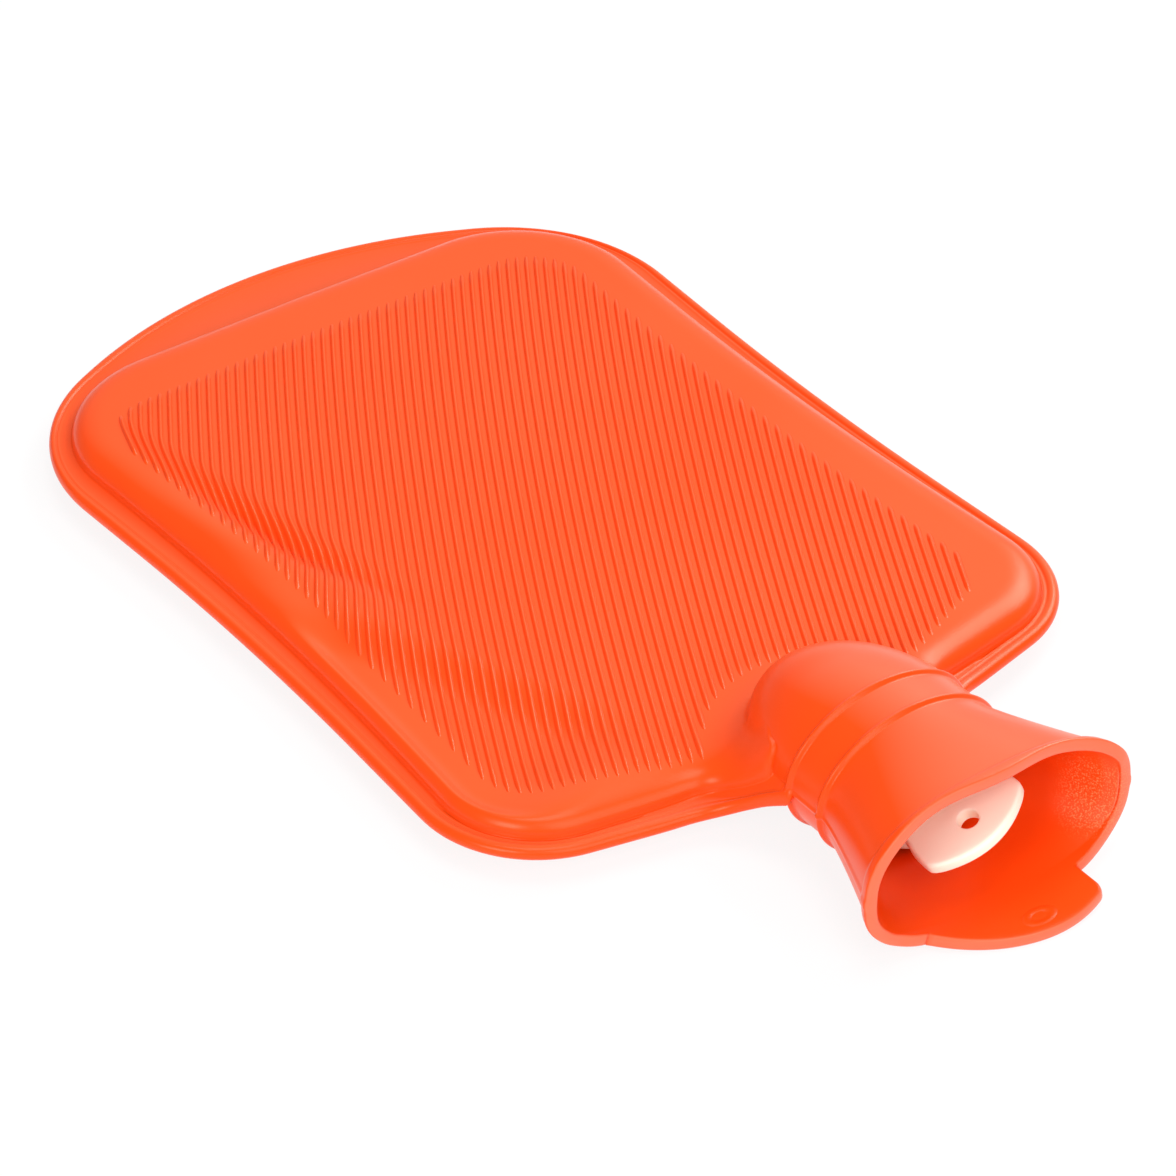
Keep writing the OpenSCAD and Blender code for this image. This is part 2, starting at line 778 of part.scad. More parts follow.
module stopper() {
    cap_top = washer_thickness + cap_thickness;
    color(cream)
    neck_frame()
    difference() {
        union() {
            translate([0, 0, -shank_length])
                cylinder(r = shank_radius, h = shank_length + washer_thickness + 0.5, $fn = 96);
            translate([0, 0, washer_thickness])
                cylinder(r = cap_radius, h = cap_thickness, $fn = 96);
            translate([0, 0, cap_top])
                rotate([0, 0, wing_turn])
                rotate([90, 0, 0])
                linear_extrude(wing_thickness, center = true)
                wing_face();
        }
        translate([0, 0, -shank_length - 1])
            cylinder(r = core_radius, h = shank_length, $fn = 64);
    }
}

bottle();
neck_insert();
sealing_washer();
stopper();
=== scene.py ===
"""Visual model of a moulded rubber hot water bottle that lies on its back, nearly empty."""

import logging
import math
from collections.abc import Sequence
from dataclasses import dataclass, field
from enum import Enum

import bmesh
import bpy
import numpy as np
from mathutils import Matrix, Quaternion, Vector

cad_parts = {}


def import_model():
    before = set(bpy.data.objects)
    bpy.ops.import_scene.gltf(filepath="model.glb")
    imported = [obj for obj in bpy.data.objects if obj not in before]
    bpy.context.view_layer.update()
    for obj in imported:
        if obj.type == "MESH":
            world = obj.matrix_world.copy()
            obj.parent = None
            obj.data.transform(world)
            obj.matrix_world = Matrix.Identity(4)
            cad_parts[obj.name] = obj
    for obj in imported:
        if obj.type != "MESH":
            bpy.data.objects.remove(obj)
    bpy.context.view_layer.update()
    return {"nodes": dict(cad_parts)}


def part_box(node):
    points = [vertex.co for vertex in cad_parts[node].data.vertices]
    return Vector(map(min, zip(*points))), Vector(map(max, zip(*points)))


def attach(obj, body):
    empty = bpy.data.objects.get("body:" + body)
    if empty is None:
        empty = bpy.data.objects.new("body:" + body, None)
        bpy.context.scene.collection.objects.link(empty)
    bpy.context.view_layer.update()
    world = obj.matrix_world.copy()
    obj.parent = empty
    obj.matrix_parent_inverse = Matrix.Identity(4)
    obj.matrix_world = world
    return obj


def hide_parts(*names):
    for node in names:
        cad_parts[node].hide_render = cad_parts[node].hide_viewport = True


log = logging.getLogger("hot_water_bottle")

MM = 0.001
SAME_PLACE = 1e-6
WELD = 1e-7
NO_LENGTH = 1e-12
Points = np.ndarray


class Facing(Enum):
    """The two panels of the bag."""

    FRONT = 1
    BACK = -1


def ease(t: Points) -> Points:
    """Return t clamped to 0..1 with soft ends."""
    u = np.clip(t, 0.0, 1.0)
    return u * u * (3 - 2 * u)


def smooth_max(a: Points, b: Points, blend: float) -> Points:
    """Return the larger of two heights, with a fillet where they cross.

    Args:
        a: first heights.
        b: second heights.
        blend: difference in height over which the fillet reaches.

    Returns:
        The joined heights, never below either one.
    """
    share = np.clip(0.5 + 0.5 * (a - b) / blend, 0.0, 1.0)
    return b + (a - b) * share + blend * share * (1 - share) / 2


def signed_power(v: Points, p: float) -> Points:
    """Return |v| to the power p with the sign of v."""
    return np.sign(v) * np.abs(v) ** p


@dataclass(frozen=True)
class Corner:
    """A rounded corner of an outline, in millimetres, and the number of points on the run up to it."""

    x: float
    y: float
    radius: float
    run: int = 1

    @property
    def at(self) -> Points:
        """The corner's place."""
        return np.array([self.x, self.y])


def corner_arc(before: Points, at: Points, after: Points, radius: float, steps: int) -> Points:
    """Return the arc that rounds one corner of a path.

    Args:
        before: the corner before.
        at: the corner that is rounded.
        after: the corner after.
        radius: radius of the arc.
        steps: number of stretches along the arc.

    Returns:
        steps + 1 points from the first touching point to the second.
    """
    u = (before - at) / np.linalg.norm(before - at)
    v = (after - at) / np.linalg.norm(after - at)
    half = math.acos(float(np.clip(u @ v, -1, 1))) / 2
    bisector = (u + v) / np.linalg.norm(u + v)
    centre = at + bisector * radius / math.sin(half)
    first = at + u * radius / math.tan(half) - centre
    side = -1 if u[0] * v[1] - u[1] * v[0] > 0 else 1
    angles = side * (math.pi - 2 * half) * np.linspace(0, 1, steps + 1)
    turned_x = first[0] * np.cos(angles) - first[1] * np.sin(angles)
    turned_y = first[0] * np.sin(angles) + first[1] * np.cos(angles)
    return centre + np.stack([turned_x, turned_y], axis=1)


def spread(path: Points, count: int, turn_weight: float = 14.0) -> Points:
    """Return points along a path, evenly spread but closer where it turns.

    Args:
        path: the dense path.
        count: number of points, of which the first is the path's own first.
        turn_weight: length in millimetres that one radian of turning counts for.

    Returns:
        The points, without the path's last one.
    """
    steps = np.diff(path, axis=0)
    length = np.hypot(*steps.T)
    kept = np.concatenate([[True], length > SAME_PLACE])
    path = path[kept]
    steps = steps[kept[1:]]
    length = length[kept[1:]]
    heading = np.unwrap(np.arctan2(steps[:, 1], steps[:, 0]))
    turning = np.abs(np.gradient(heading))
    place = np.concatenate([[0], np.cumsum(length + turn_weight * turning)])
    wanted = np.linspace(0, place[-1], count + 1)[:-1]
    return np.column_stack([np.interp(wanted, place, path[:, k]) for k in (0, 1)])


def mirrored_outline(tail: Corner, right: Sequence[Corner], closing: int) -> Points:
    """Return a closed outline that is the same on both sides of the bottle's length.

    Args:
        tail: the corner on the middle line, at the tail.
        right: the corners of the right half, from the tail to the neck.
        closing: number of points from the middle of the last corner to the middle line.

    Returns:
        The outline's points, clockwise from the tail.
    """
    mirror = np.array([-1.0, 1.0])
    places = [right[0].at * mirror, tail.at, *[c.at for c in right], right[-1].at * mirror]
    half_steps = 20
    arcs = [
        corner_arc(before, at, after, corner.radius, 2 * half_steps)
        for before, at, after, corner in zip(places, places[1:], places[2:], [tail, *right])
    ]
    runs = []
    for before, after, corner in zip(arcs, arcs[1:], right):
        path = np.concatenate([before[half_steps:], after[: half_steps + 1]])
        runs.append(spread(path, corner.run))
    middle = np.array([[0.0, right[-1].y]])
    runs.append(spread(np.concatenate([arcs[-1][half_steps:], middle]), closing))
    half = np.concatenate(runs)
    return np.concatenate([half, middle, half[:0:-1] * mirror])


def inset(outline: Points, distance: float) -> Points:
    """Return an outline, clockwise, moved inwards by a distance.

    Args:
        outline: the closed outline.
        distance: how far inwards, less than nothing for outwards.

    Returns:
        The moved points.
    """
    along = np.roll(outline, -1, axis=0) - np.roll(outline, 1, axis=0)
    along /= np.linalg.norm(along, axis=1)[:, None]
    outwards = np.stack([-along[:, 1], along[:, 0]], axis=1)
    return outline - outwards * distance


def linked(name: str, data: bpy.types.ID) -> bpy.types.Object:
    """Make an object that holds some data, and link it to the scene.

    Args:
        name: name of the object.
        data: its mesh, lamp or camera.

    Returns:
        The new object.
    """
    made = bpy.data.objects.new(name, data)
    bpy.context.scene.collection.objects.link(made)
    return made


class Shell:
    """Vertices and faces of one mesh, gathered loop by loop in millimetres."""

    def __init__(self) -> None:
        """Start an empty shell."""
        self.points: list[Points] = []
        self.faces: list[tuple[int, ...]] = []
        self.count = 0

    def loop(self, points: Points) -> Points:
        """Add points and return their numbers.

        Args:
            points: the loop's places.

        Returns:
            Their numbers.
        """
        numbers = np.arange(self.count, self.count + len(points))
        self.points.append(np.asarray(points, float))
        self.count += len(points)
        return numbers

    def bridge(self, a: Points, b: Points, closed: bool = True) -> None:
        """Add quads between two loops with the same number of points.

        Args:
            a: numbers of the first loop.
            b: numbers of the second loop.
            closed: True where the loops run all the way round.
        """
        last = len(a) if closed else len(a) - 1
        for i in range(last):
            j = (i + 1) % len(a)
            quad = (int(a[i]), int(a[j]), int(b[j]), int(b[i]))
            if len(set(quad)) > 2:
                self.faces.append(tuple(dict.fromkeys(quad)))

    def stack(self, loops: Sequence[Points]) -> list[Points]:
        """Add loops, bridge each to the next and return their numbers.

        Args:
            loops: loops with the same number of points.

        Returns:
            The numbers of each loop.
        """
        numbers = [self.loop(points) for points in loops]
        for a, b in zip(numbers, numbers[1:]):
            self.bridge(a, b)
        return numbers

    def fan(self, loop: Points, centre: Points) -> None:
        """Close a loop with triangles to one point.

        Args:
            loop: the loop's numbers.
            centre: the point.
        """
        tip = int(self.loop(np.atleast_2d(centre))[0])
        for i, number in enumerate(loop):
            self.faces.append((int(number), int(loop[(i + 1) % len(loop)]), tip))

    def make(self, name: str) -> bpy.types.Object:
        """Make a mesh object in metres, with its faces turned outwards.

        Args:
            name: name of the object.

        Returns:
            The new object, smooth shaded and linked to the scene.
        """
        mesh = bpy.data.meshes.new(name)
        mesh.from_pydata(np.concatenate(self.points) * MM, [], self.faces)
        work = bmesh.new()
        work.from_mesh(mesh)
        bmesh.ops.remove_doubles(work, verts=work.verts, dist=WELD)
        bmesh.ops.recalc_face_normals(work, faces=work.faces)
        work.to_mesh(mesh)
        work.free()
        mesh.shade_smooth()
        return linked(name, mesh)


@dataclass(frozen=True)
class Datum:
    """Places along the bottle that every piece is measured from, in millimetres."""

    seat_y: float
    neck_height: float
    seat_depth: float = 4.0
    collar_length: float = 12.0
    bag_length: float = 288.0
    funnel_length: float = 33.0

    @classmethod
    def from_frame(cls) -> "Datum":
        """Read the seat's place and the neck's height from the fixed frame."""
        low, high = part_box("neck_insert")
        return cls(seat_y=low.y / MM, neck_height=(low.z + high.z) / 2 / MM)

    @property
    def ring_y(self) -> float:
        """Place of the second raised ring."""
        return self.seat_y + self.seat_depth

    @property
    def collar_y(self) -> float:
        """Place of the first raised ring, where the bag ends."""
        return self.ring_y + self.collar_length

    @property
    def tail_y(self) -> float:
        """Place of the tail edge."""
        return self.collar_y + self.bag_length

    @property
    def mouth_y(self) -> float:
        """Place of the mouth."""
        return self.ring_y - self.funnel_length


@dataclass(frozen=True)
class Dent:
    """A soft dent or swell of the slack front panel."""

    x: float
    y: float
    long: float
    wide: float
    turn: float
    height: float

    def at(self, x: Points, y: Points) -> Points:
        """Return the dent's height at places.

        Args:
            x: places across.
            y: places along.

        Returns:
            Heights.
        """
        c = math.cos(math.radians(self.turn))
        s = math.sin(math.radians(self.turn))
        along = (x - self.x) * c + (y - self.y) * s
        across = (y - self.y) * c - (x - self.x) * s
        return self.height * np.exp(-((along / self.long) ** 2) - (across / self.wide) ** 2)


@dataclass(frozen=True)
class Crease:
    """A valley or ridge of the slack panel along a bent line, strongest at a share of its length."""

    line: tuple[tuple[float, float], ...]
    wide: float
    height: float
    strongest: float

    def at(self, x: Points, y: Points) -> Points:
        """Return the crease's height at places.

        Args:
            x: places across.
            y: places along.

        Returns:
            Heights.
        """
        line = np.array(self.line)
        lengths = np.hypot(*np.diff(line, axis=0).T)
        starts = np.concatenate([[0], np.cumsum(lengths)])
        nearest = np.full(np.shape(x), np.inf)
        place = np.zeros(np.shape(x))
        for start, (ax, ay), (bx, by), length in zip(starts, line, line[1:], lengths):
            t = np.clip(((x - ax) * (bx - ax) + (y - ay) * (by - ay)) / length**2, 0, 1)
            away = np.hypot(x - ax - (bx - ax) * t, y - ay - (by - ay) * t)
            place = np.where(away < nearest, (start + t * length) / starts[-1], place)
            nearest = np.minimum(away, nearest)
        rising = ease(place / (1 - self.strongest))
        falling = ease((1 - place) / self.strongest)
        return self.height * np.exp(-((nearest / self.wide) ** 2)) * np.minimum(rising, falling)


@dataclass(frozen=True)
class Fall:
    """A part of the slack panel that lies lower, beyond a straight line."""

    start: tuple[float, float]
    end: tuple[float, float]
    wide: float
    height: float
    fade: float

    def at(self, x: Points, y: Points) -> Points:
        """Return the fall's height at places: nothing on the left of the way from start to end.

        Args:
            x: places across.
            y: places along.

        Returns:
            Heights.
        """
        way = np.array(self.end) - np.array(self.start)
        length = float(np.hypot(*way))
        ux, uy = way / length
        beyond = uy * (x - self.start[0]) - ux * (y - self.start[1])
        along = ux * (x - self.start[0]) + uy * (y - self.start[1])
        ends = ease((along + self.fade) / self.fade) * ease((length + self.fade - along) / self.fade)
        return self.height * ease(beyond / self.wide) * ends


@dataclass
class NeckShape:
    """The dome, collar and funnel as one run of ovals about the neck's axis, in millimetres."""

    datum: Datum
    half_width: float = 27.6
    half_height: float = 20.2
    dome_length: float = 38.0
    ring_height: float = 0.95
    ring_half_width: float = 1.15
    mouth_half_width: float = 40.3
    mouth_shift: float = 1.1
    mouth_half_height: float = 20.7
    squareness: float = 2.6
    lip_bead: float = 0.8
    lip_bead_width: float = 3.4
    lip_bead_step: float = 1.2
    funnel_start: float = 1.9
    flare: float = 1.15
    skirt_slope: float = 1.4
    nose_tip: float = 0.019

    def sizes(self, y: Points) -> tuple[Points, Points, Points]:
        """Return the half width, half height and squareness of the oval at places along the bottle.

        Args:
            y: places along the bottle.

        Returns:
            Half widths, half heights and exponents of the oval.
        """
        d = self.datum
        nose = np.clip((y - d.collar_y) / self.dome_length, 0, 1)
        fall = np.sqrt(1 - nose**2)
        out = np.clip((d.ring_y - self.funnel_start - y) / (d.funnel_length - self.funnel_start), 0, 1)
        share = out**self.flare
        a = self.half_width * fall + (self.mouth_half_width - self.half_width) * share
        b = self.half_height * fall + (self.mouth_half_height - self.half_height) * share
        return a, b, 2 + (self.squareness - 2) * share

    def bumps(self, y: Points) -> Points:
        """Return the height of the two raised rings and of the lip's bead.

        Args:
            y: places along the bottle.

        Returns:
            Heights over the plain surface.
        """
        d = self.datum
        total = np.zeros_like(y)
        for place in (d.collar_y, d.ring_y):
            near = np.clip(np.abs(y - place) / self.ring_half_width, 0, 1)
            total = total + self.ring_height * (1 - near**2) ** 1.5
        bead_start = d.mouth_y + self.lip_bead_width + self.lip_bead_step / 2
        return total + self.lip_bead * ease((bead_start - y) / self.lip_bead_step)

    def place(self, y: Points, angle: Points, add: Points) -> Points:
        """Return points of the neck's surface.

        Args:
            y: places along the bottle.
            angle: bearings about the axis, from +X towards up, in radians.
            add: heights over the plain surface.

        Returns:
            The points.
        """
        a, b, square = self.sizes(y)
        x = (a + add) * signed_power(np.cos(angle), 2 / square)
        x = x + self.mouth_shift * (square - 2) / (self.squareness - 2)
        z = (b + add) * signed_power(np.sin(angle), 2 / square)
        return np.stack([x, y, self.datum.neck_height + z], axis=-1)

    def dome_reach(self, x: Points, y: Points) -> Points:
        """Return how far the dome stands over its axis, which is less than nothing outside it.

        Args:
            x: places across.
            y: places along.

        Returns:
            Heights over the axis.
        """
        nose_y = self.datum.collar_y + self.dome_length
        a, b, _ = self.sizes(np.minimum(y, nose_y - self.nose_tip))
        r = np.abs(x) / a
        beyond = np.maximum(y - nose_y, 0)
        inside = b * np.sqrt(np.maximum(1 - np.minimum(r, 1) ** 2, 0))
        return inside - self.skirt_slope * np.hypot(np.maximum(np.abs(x) - a, 0), beyond)


@dataclass
class BagShape:
    """The bag's outlines and heights, in millimetres."""

    datum: Datum
    neck: NeckShape
    tail_half_width: float = 99.0
    waist_half_width: float = 93.5
    shoulder_half_width: float = 98.5
    tail_bow: float = 33.0
    tail_straight: float = 2.0
    tail_corner_radius: float = 56.0
    shoulder_reach: float = 28.8
    shoulder_radius: float = 34.3
    shoulder_fall: float = 14.4
    neck_corner_offset: float = 7.55
    neck_corner_radius: float = 22.3
    waist_radius: float = 1100.0
    flange_width: float = 8.0
    tail_flange_width: float = 23.0
    flange_end_offset: float = 1.4
    flange_end_inset: float = 2.0
    flange_end_radius: float = 0.7
    side_bearing: float = 93.0
    panel_tail_bow: float = 1.0
    panel_tail_radius: float = 900.0
    panel_corner_radius: float = 38.0
    panel_shoulder_growth: float = 2.8
    panel_shoulder_gap: float = 2.6
    panel_shoulder_radius: float = 27.9
    panel_fall: float = 10.0
    panel_neck_offset: float = 8.3
    panel_neck_radius: float = 11.0
    panel_end: float = 7.0
    panel_end_offset: float = 1.0
    panel_end_radius: float = 2.0
    seam_height: float = 8.5
    panel_rise: float = 7.6
    shoulder_band: float = 9.5
    neck_band: float = 2.2
    seam_reach: float = 34.8
    seam_power: float = 4.15
    shoulder_power: float = 2.4
    brow_inset: float = 12.0
    brow_neck_share: float = 0.7
    brow_end: float = 12.0
    brow_end_radius: float = 30.0
    bead_width: float = 4.0
    bead_thickness: float = 3.8
    web_thickness: float = 3.1
    step_height: float = 0.9
    fillet: float = 2.0
    hidden: float = 0.02
    runs: tuple[int, ...] = (58, 34, 38, 30, 16, 30)
    dents: tuple[Dent, ...] = (
        Dent(-68, 16, 26, 9, 75, 0.8),
        Dent(30, 28, 60, 50, 0, 0.8),
    )
    crease: Crease = Crease(((-75, 104), (-70.5, 76), (-66, 44), (-58.5, 19), (-54, -2)), 3.2, -3.0, 0.6)
    ridge: Crease = Crease(((-82, 100), (-79, 70), (-75, 40), (-68, 16)), 5.5, 1.1, 0.5)
    fall: Fall = Fall((-66.0, 8.0), (-43.0, -46.0), 15.0, -3.4, 26.0)

    @property
    def tail_corner_y(self) -> float:
        """Place of the line between the tail corners."""
        return self.datum.tail_y - self.tail_bow

    @property
    def shoulder_y(self) -> float:
        """Place of the shoulder corners."""
        return self.datum.collar_y + self.shoulder_reach

    @property
    def waist_y(self) -> float:
        """Place of the waist."""
        return (self.tail_corner_y + self.shoulder_y) / 2

    @property
    def panel_tail_y(self) -> float:
        """Place of the panel's tail edge."""
        return self.datum.tail_y - self.tail_flange_width

    @property
    def centre(self) -> Points:
        """Middle of the panel."""
        return np.array([0.0, (self.panel_tail_y + self.datum.collar_y) / 2])

    def tail_arc(self) -> Corner:
        """Return the tail arc, which touches the tail edge and ends just before the tail corners.

        Returns:
            The arc's corner, where the two lines that it touches would meet.
        """
        low = 0.02
        high = 1.5
        for _ in range(40):
            slope = (low + high) / 2
            lean = (math.radians(self.side_bearing) - math.atan(slope)) / 2
            reach = self.tail_half_width * math.hypot(1, slope) - self.tail_straight
            reach -= self.tail_corner_radius * math.tan(lean)
            apex = reach / slope * (math.hypot(1, slope) - 1)
            if slope * self.tail_half_width - self.tail_bow > apex:
                high = slope
            else:
                low = slope
        return Corner(0, self.datum.tail_y + apex, reach / slope)

    def flange_outline(self) -> Points:
        """Return the outline of the seam flange.

        Returns:
            The outline's points.
        """
        d = self.datum
        n = self.neck
        runs = self.runs
        neck_y = self.shoulder_y - self.shoulder_fall
        end_x = n.half_width + self.flange_end_offset
        return mirrored_outline(
            self.tail_arc(),
            [
                Corner(self.tail_half_width, self.tail_corner_y, self.tail_corner_radius, runs[0]),
                Corner(self.waist_half_width, self.waist_y, self.waist_radius, runs[1]),
                Corner(self.shoulder_half_width, self.shoulder_y, self.shoulder_radius, runs[2]),
                Corner(n.half_width + self.neck_corner_offset, neck_y, self.neck_corner_radius, runs[3]),
                Corner(end_x, d.collar_y - self.flange_end_inset, self.flange_end_radius, runs[4]),
            ],
            runs[5],
        )

    def panel_outline(self, end: Corner) -> Points:
        """Return an outline of the front panel that closes at a given corner beside or inside the neck.

        Args:
            end: the last corner of the right half.

        Returns:
            The outline's points.
        """
        runs = self.runs
        side = self.flange_width
        shoulder_y = self.shoulder_y + self.panel_shoulder_gap
        shoulder_x = self.shoulder_half_width - side + self.panel_shoulder_growth
        neck_x = self.neck.half_width + self.panel_neck_offset
        return mirrored_outline(
            Corner(0, self.panel_tail_y + self.panel_tail_bow, self.panel_tail_radius),
            [
                Corner(self.tail_half_width - side, self.panel_tail_y, self.panel_corner_radius, runs[0]),
                Corner(self.waist_half_width - side, self.waist_y, self.waist_radius, runs[1]),
                Corner(shoulder_x, shoulder_y, self.panel_shoulder_radius, runs[2]),
                Corner(neck_x, shoulder_y - self.panel_fall, self.panel_neck_radius, runs[3]),
                end,
            ],
            runs[5],
        )

    def foot_outline(self) -> Points:
        """Return the outline of the front panel's foot, with a sharp end beside the neck.

        Returns:
            The outline's points.
        """
        end_x = self.neck.half_width + self.panel_end_offset
        end_y = self.datum.collar_y + self.panel_end
        return self.panel_outline(Corner(end_x, end_y, self.panel_end_radius, self.runs[4]))

    def brow_outline(self) -> Points:
        """Return the outline where the panel's rounded shoulder has reached its full height.

        Returns:
            The outline's points.
        """
        end_x = self.neck.half_width * self.brow_neck_share
        end = Corner(end_x, self.datum.collar_y + self.brow_end, self.brow_end_radius, self.runs[4])
        return inset(self.panel_outline(end), self.brow_inset)

    def seam_z(self, x: Points, y: Points) -> Points:
        """Return the seam's height: level along the bag, and rising to the neck's axis at the collar.

        Args:
            x: places across.
            y: places along.

        Returns:
            Heights.
        """
        away = np.hypot(x, y - self.datum.collar_y) - self.neck.half_width
        rise = (1 - np.clip(away / self.seam_reach, 0, 1)) ** self.seam_power
        return self.seam_height + (self.datum.neck_height - self.seam_height) * rise

    def share(self, distance: float, band: Points | float) -> Points:
        """Return the share of its full height that a panel has at a distance inside its edge."""
        return np.sqrt(1 - (1 - np.clip(distance / band, 0, 1)) ** self.shoulder_power)

    def slack(self, x: Points, y: Points) -> Points:
        """Return the height of the dents, swells and creases."""
        soft = sum(dent.at(x, y) for dent in self.dents)
        return soft + self.crease.at(x, y) + self.ridge.at(x, y) + self.fall.at(x, y)

    def front_z(self, x: Points, y: Points, share: Points | float, sink: float) -> Points:
        """Return the front surface's height, with the dome's fillet.

        Args:
            x: places across.
            y: places along.
            share: share of the panel's full height.
            sink: depth by which the dome's part lies under the neck's own surface.

        Returns:
            Heights.
        """
        foot = self.web_thickness / 2 + self.step_height
        slack = self.slack(x, y) * ease(share * 3 - 2)
        plain = self.seam_z(x, y) + foot + share * (self.panel_rise - foot + slack)
        dome = self.datum.neck_height + self.neck.dome_reach(x, y) - self.hidden - sink
        return smooth_max(plain, dome, self.fillet)

    def back_z(self, x: Points, y: Points, share: Points | float, sink: float) -> Points:
        """Return the back surface's height, flat where the bottle lies on it.

        Args:
            x: places across.
            y: places along.
            share: share of the panel's full height.
            sink: depth by which the dome's part lies over the neck's own surface.

        Returns:
            Heights.
        """
        foot = self.web_thickness / 2
        plain = self.seam_z(x, y) - foot - share * (self.seam_height - foot)
        dome = self.datum.neck_height - self.neck.dome_reach(x, y) + self.hidden + sink
        return -smooth_max(-plain, -dome, self.fillet / 2)


@dataclass
class RibField:
    """The ribbed field of the front panel, in millimetres."""

    bag: BagShape
    pitch: float = 2.7
    width: float = 1.6
    height: float = 0.8
    angle: float = 29.0
    bend_radius: float = 2000.0
    drift: float = 4.5
    drift_line: tuple[float, float, float] = (0.98, 0.197, 54.0)
    drift_reach: float = 9.0
    drift_start: float = -5.0
    drift_length: float = 65.0
    fade: float = 4.0
    side_margin: float = 13.5
    tail_margin: float = 21.0
    shoulder_margin: float = 16.2
    shoulder_fall: float = 21.0
    offset: float = -3.0
    corner_radius: float = 18.0
    neck_corner_radius: float = 30.0
    outline_run: int = 40
    shortest: float = 2.0
    neck_radius: float = 34.0
    neck_distance: float = 14.0
    sunk: float = 0.04
    points_across: int = 9
    points_along: int = 64

    @property
    def along(self) -> Points:
        """Direction of the ribs."""
        return np.array([math.sin(math.radians(self.angle)), math.cos(math.radians(self.angle))])

    @property
    def across(self) -> Points:
        """Direction from one rib to the next."""
        return np.array([math.cos(math.radians(self.angle)), -math.sin(math.radians(self.angle))])

    def outline(self) -> Points:
        """Return the outline that the ribs end at.

        Returns:
            The outline's points.
        """
        b = self.bag
        run = self.outline_run
        side = b.flange_width + self.side_margin
        tail_y = b.panel_tail_y - self.tail_margin
        shoulder_y = b.shoulder_y + self.shoulder_margin
        plain = mirrored_outline(
            Corner(0, tail_y + b.panel_tail_bow, b.panel_tail_radius),
            [
                Corner(b.tail_half_width - side, tail_y, self.corner_radius, run),
                Corner(b.waist_half_width - side, b.waist_y, b.waist_radius, run),
                Corner(b.shoulder_half_width - side, shoulder_y, self.corner_radius, run),
                Corner(b.neck.half_width, shoulder_y - self.shoulder_fall, self.neck_corner_radius, run),
            ],
            run,
        )
        plain[:, 0] += self.offset
        over = np.sqrt(np.maximum(self.neck_radius**2 - plain[:, 0] ** 2, 0))
        edge = b.datum.collar_y + self.neck_distance + over
        near_neck = (np.abs(plain[:, 0]) < self.neck_radius) & (plain[:, 1] < 0)
        plain[:, 1] = np.where(near_neck, np.maximum(plain[:, 1], edge), plain[:, 1])
        return plain

    def sideways(self, x: Points, y: Points, along: Points) -> Points:
        """Return how far the ribs are off their straight lines: bent, and drawn aside by the crease.

        Args:
            x: places across.
            y: places along the bottle.
            along: places along the ribs.

        Returns:
            Distances towards the next rib.
        """
        nx, ny, gap = self.drift_line
        near = ease((self.drift_reach - (x * nx + y * ny + gap)) / (2 * self.drift_reach))
        drawn = self.drift * near * ease((y - self.drift_start) / self.drift_length)
        return along**2 / (2 * self.bend_radius) + drawn

    def spans(self) -> list[tuple[float, float, float]]:
        """Return the offset, the neck end and the length of each rib.

        Returns:
            One (offset, start, length) for each rib.
        """
        outline = self.outline()
        from_centre = outline - self.bag.centre
        along = from_centre @ self.along
        across = from_centre @ self.across - self.sideways(*outline.T, along)
        first = math.ceil((across.min() + self.shortest) / self.pitch)
        last = math.floor((across.max() - self.shortest) / self.pitch)
        spans = []
        for k in range(first, last + 1):
            gap = across - k * self.pitch
            following = np.roll(gap, -1)
            hit = gap * following < 0
            t = gap[hit] / (gap[hit] - following[hit])
            places = along[hit] + (np.roll(along, -1)[hit] - along[hit]) * t
            spans.append((k * self.pitch, float(places.min()), float(places.max() - places.min())))
        return spans


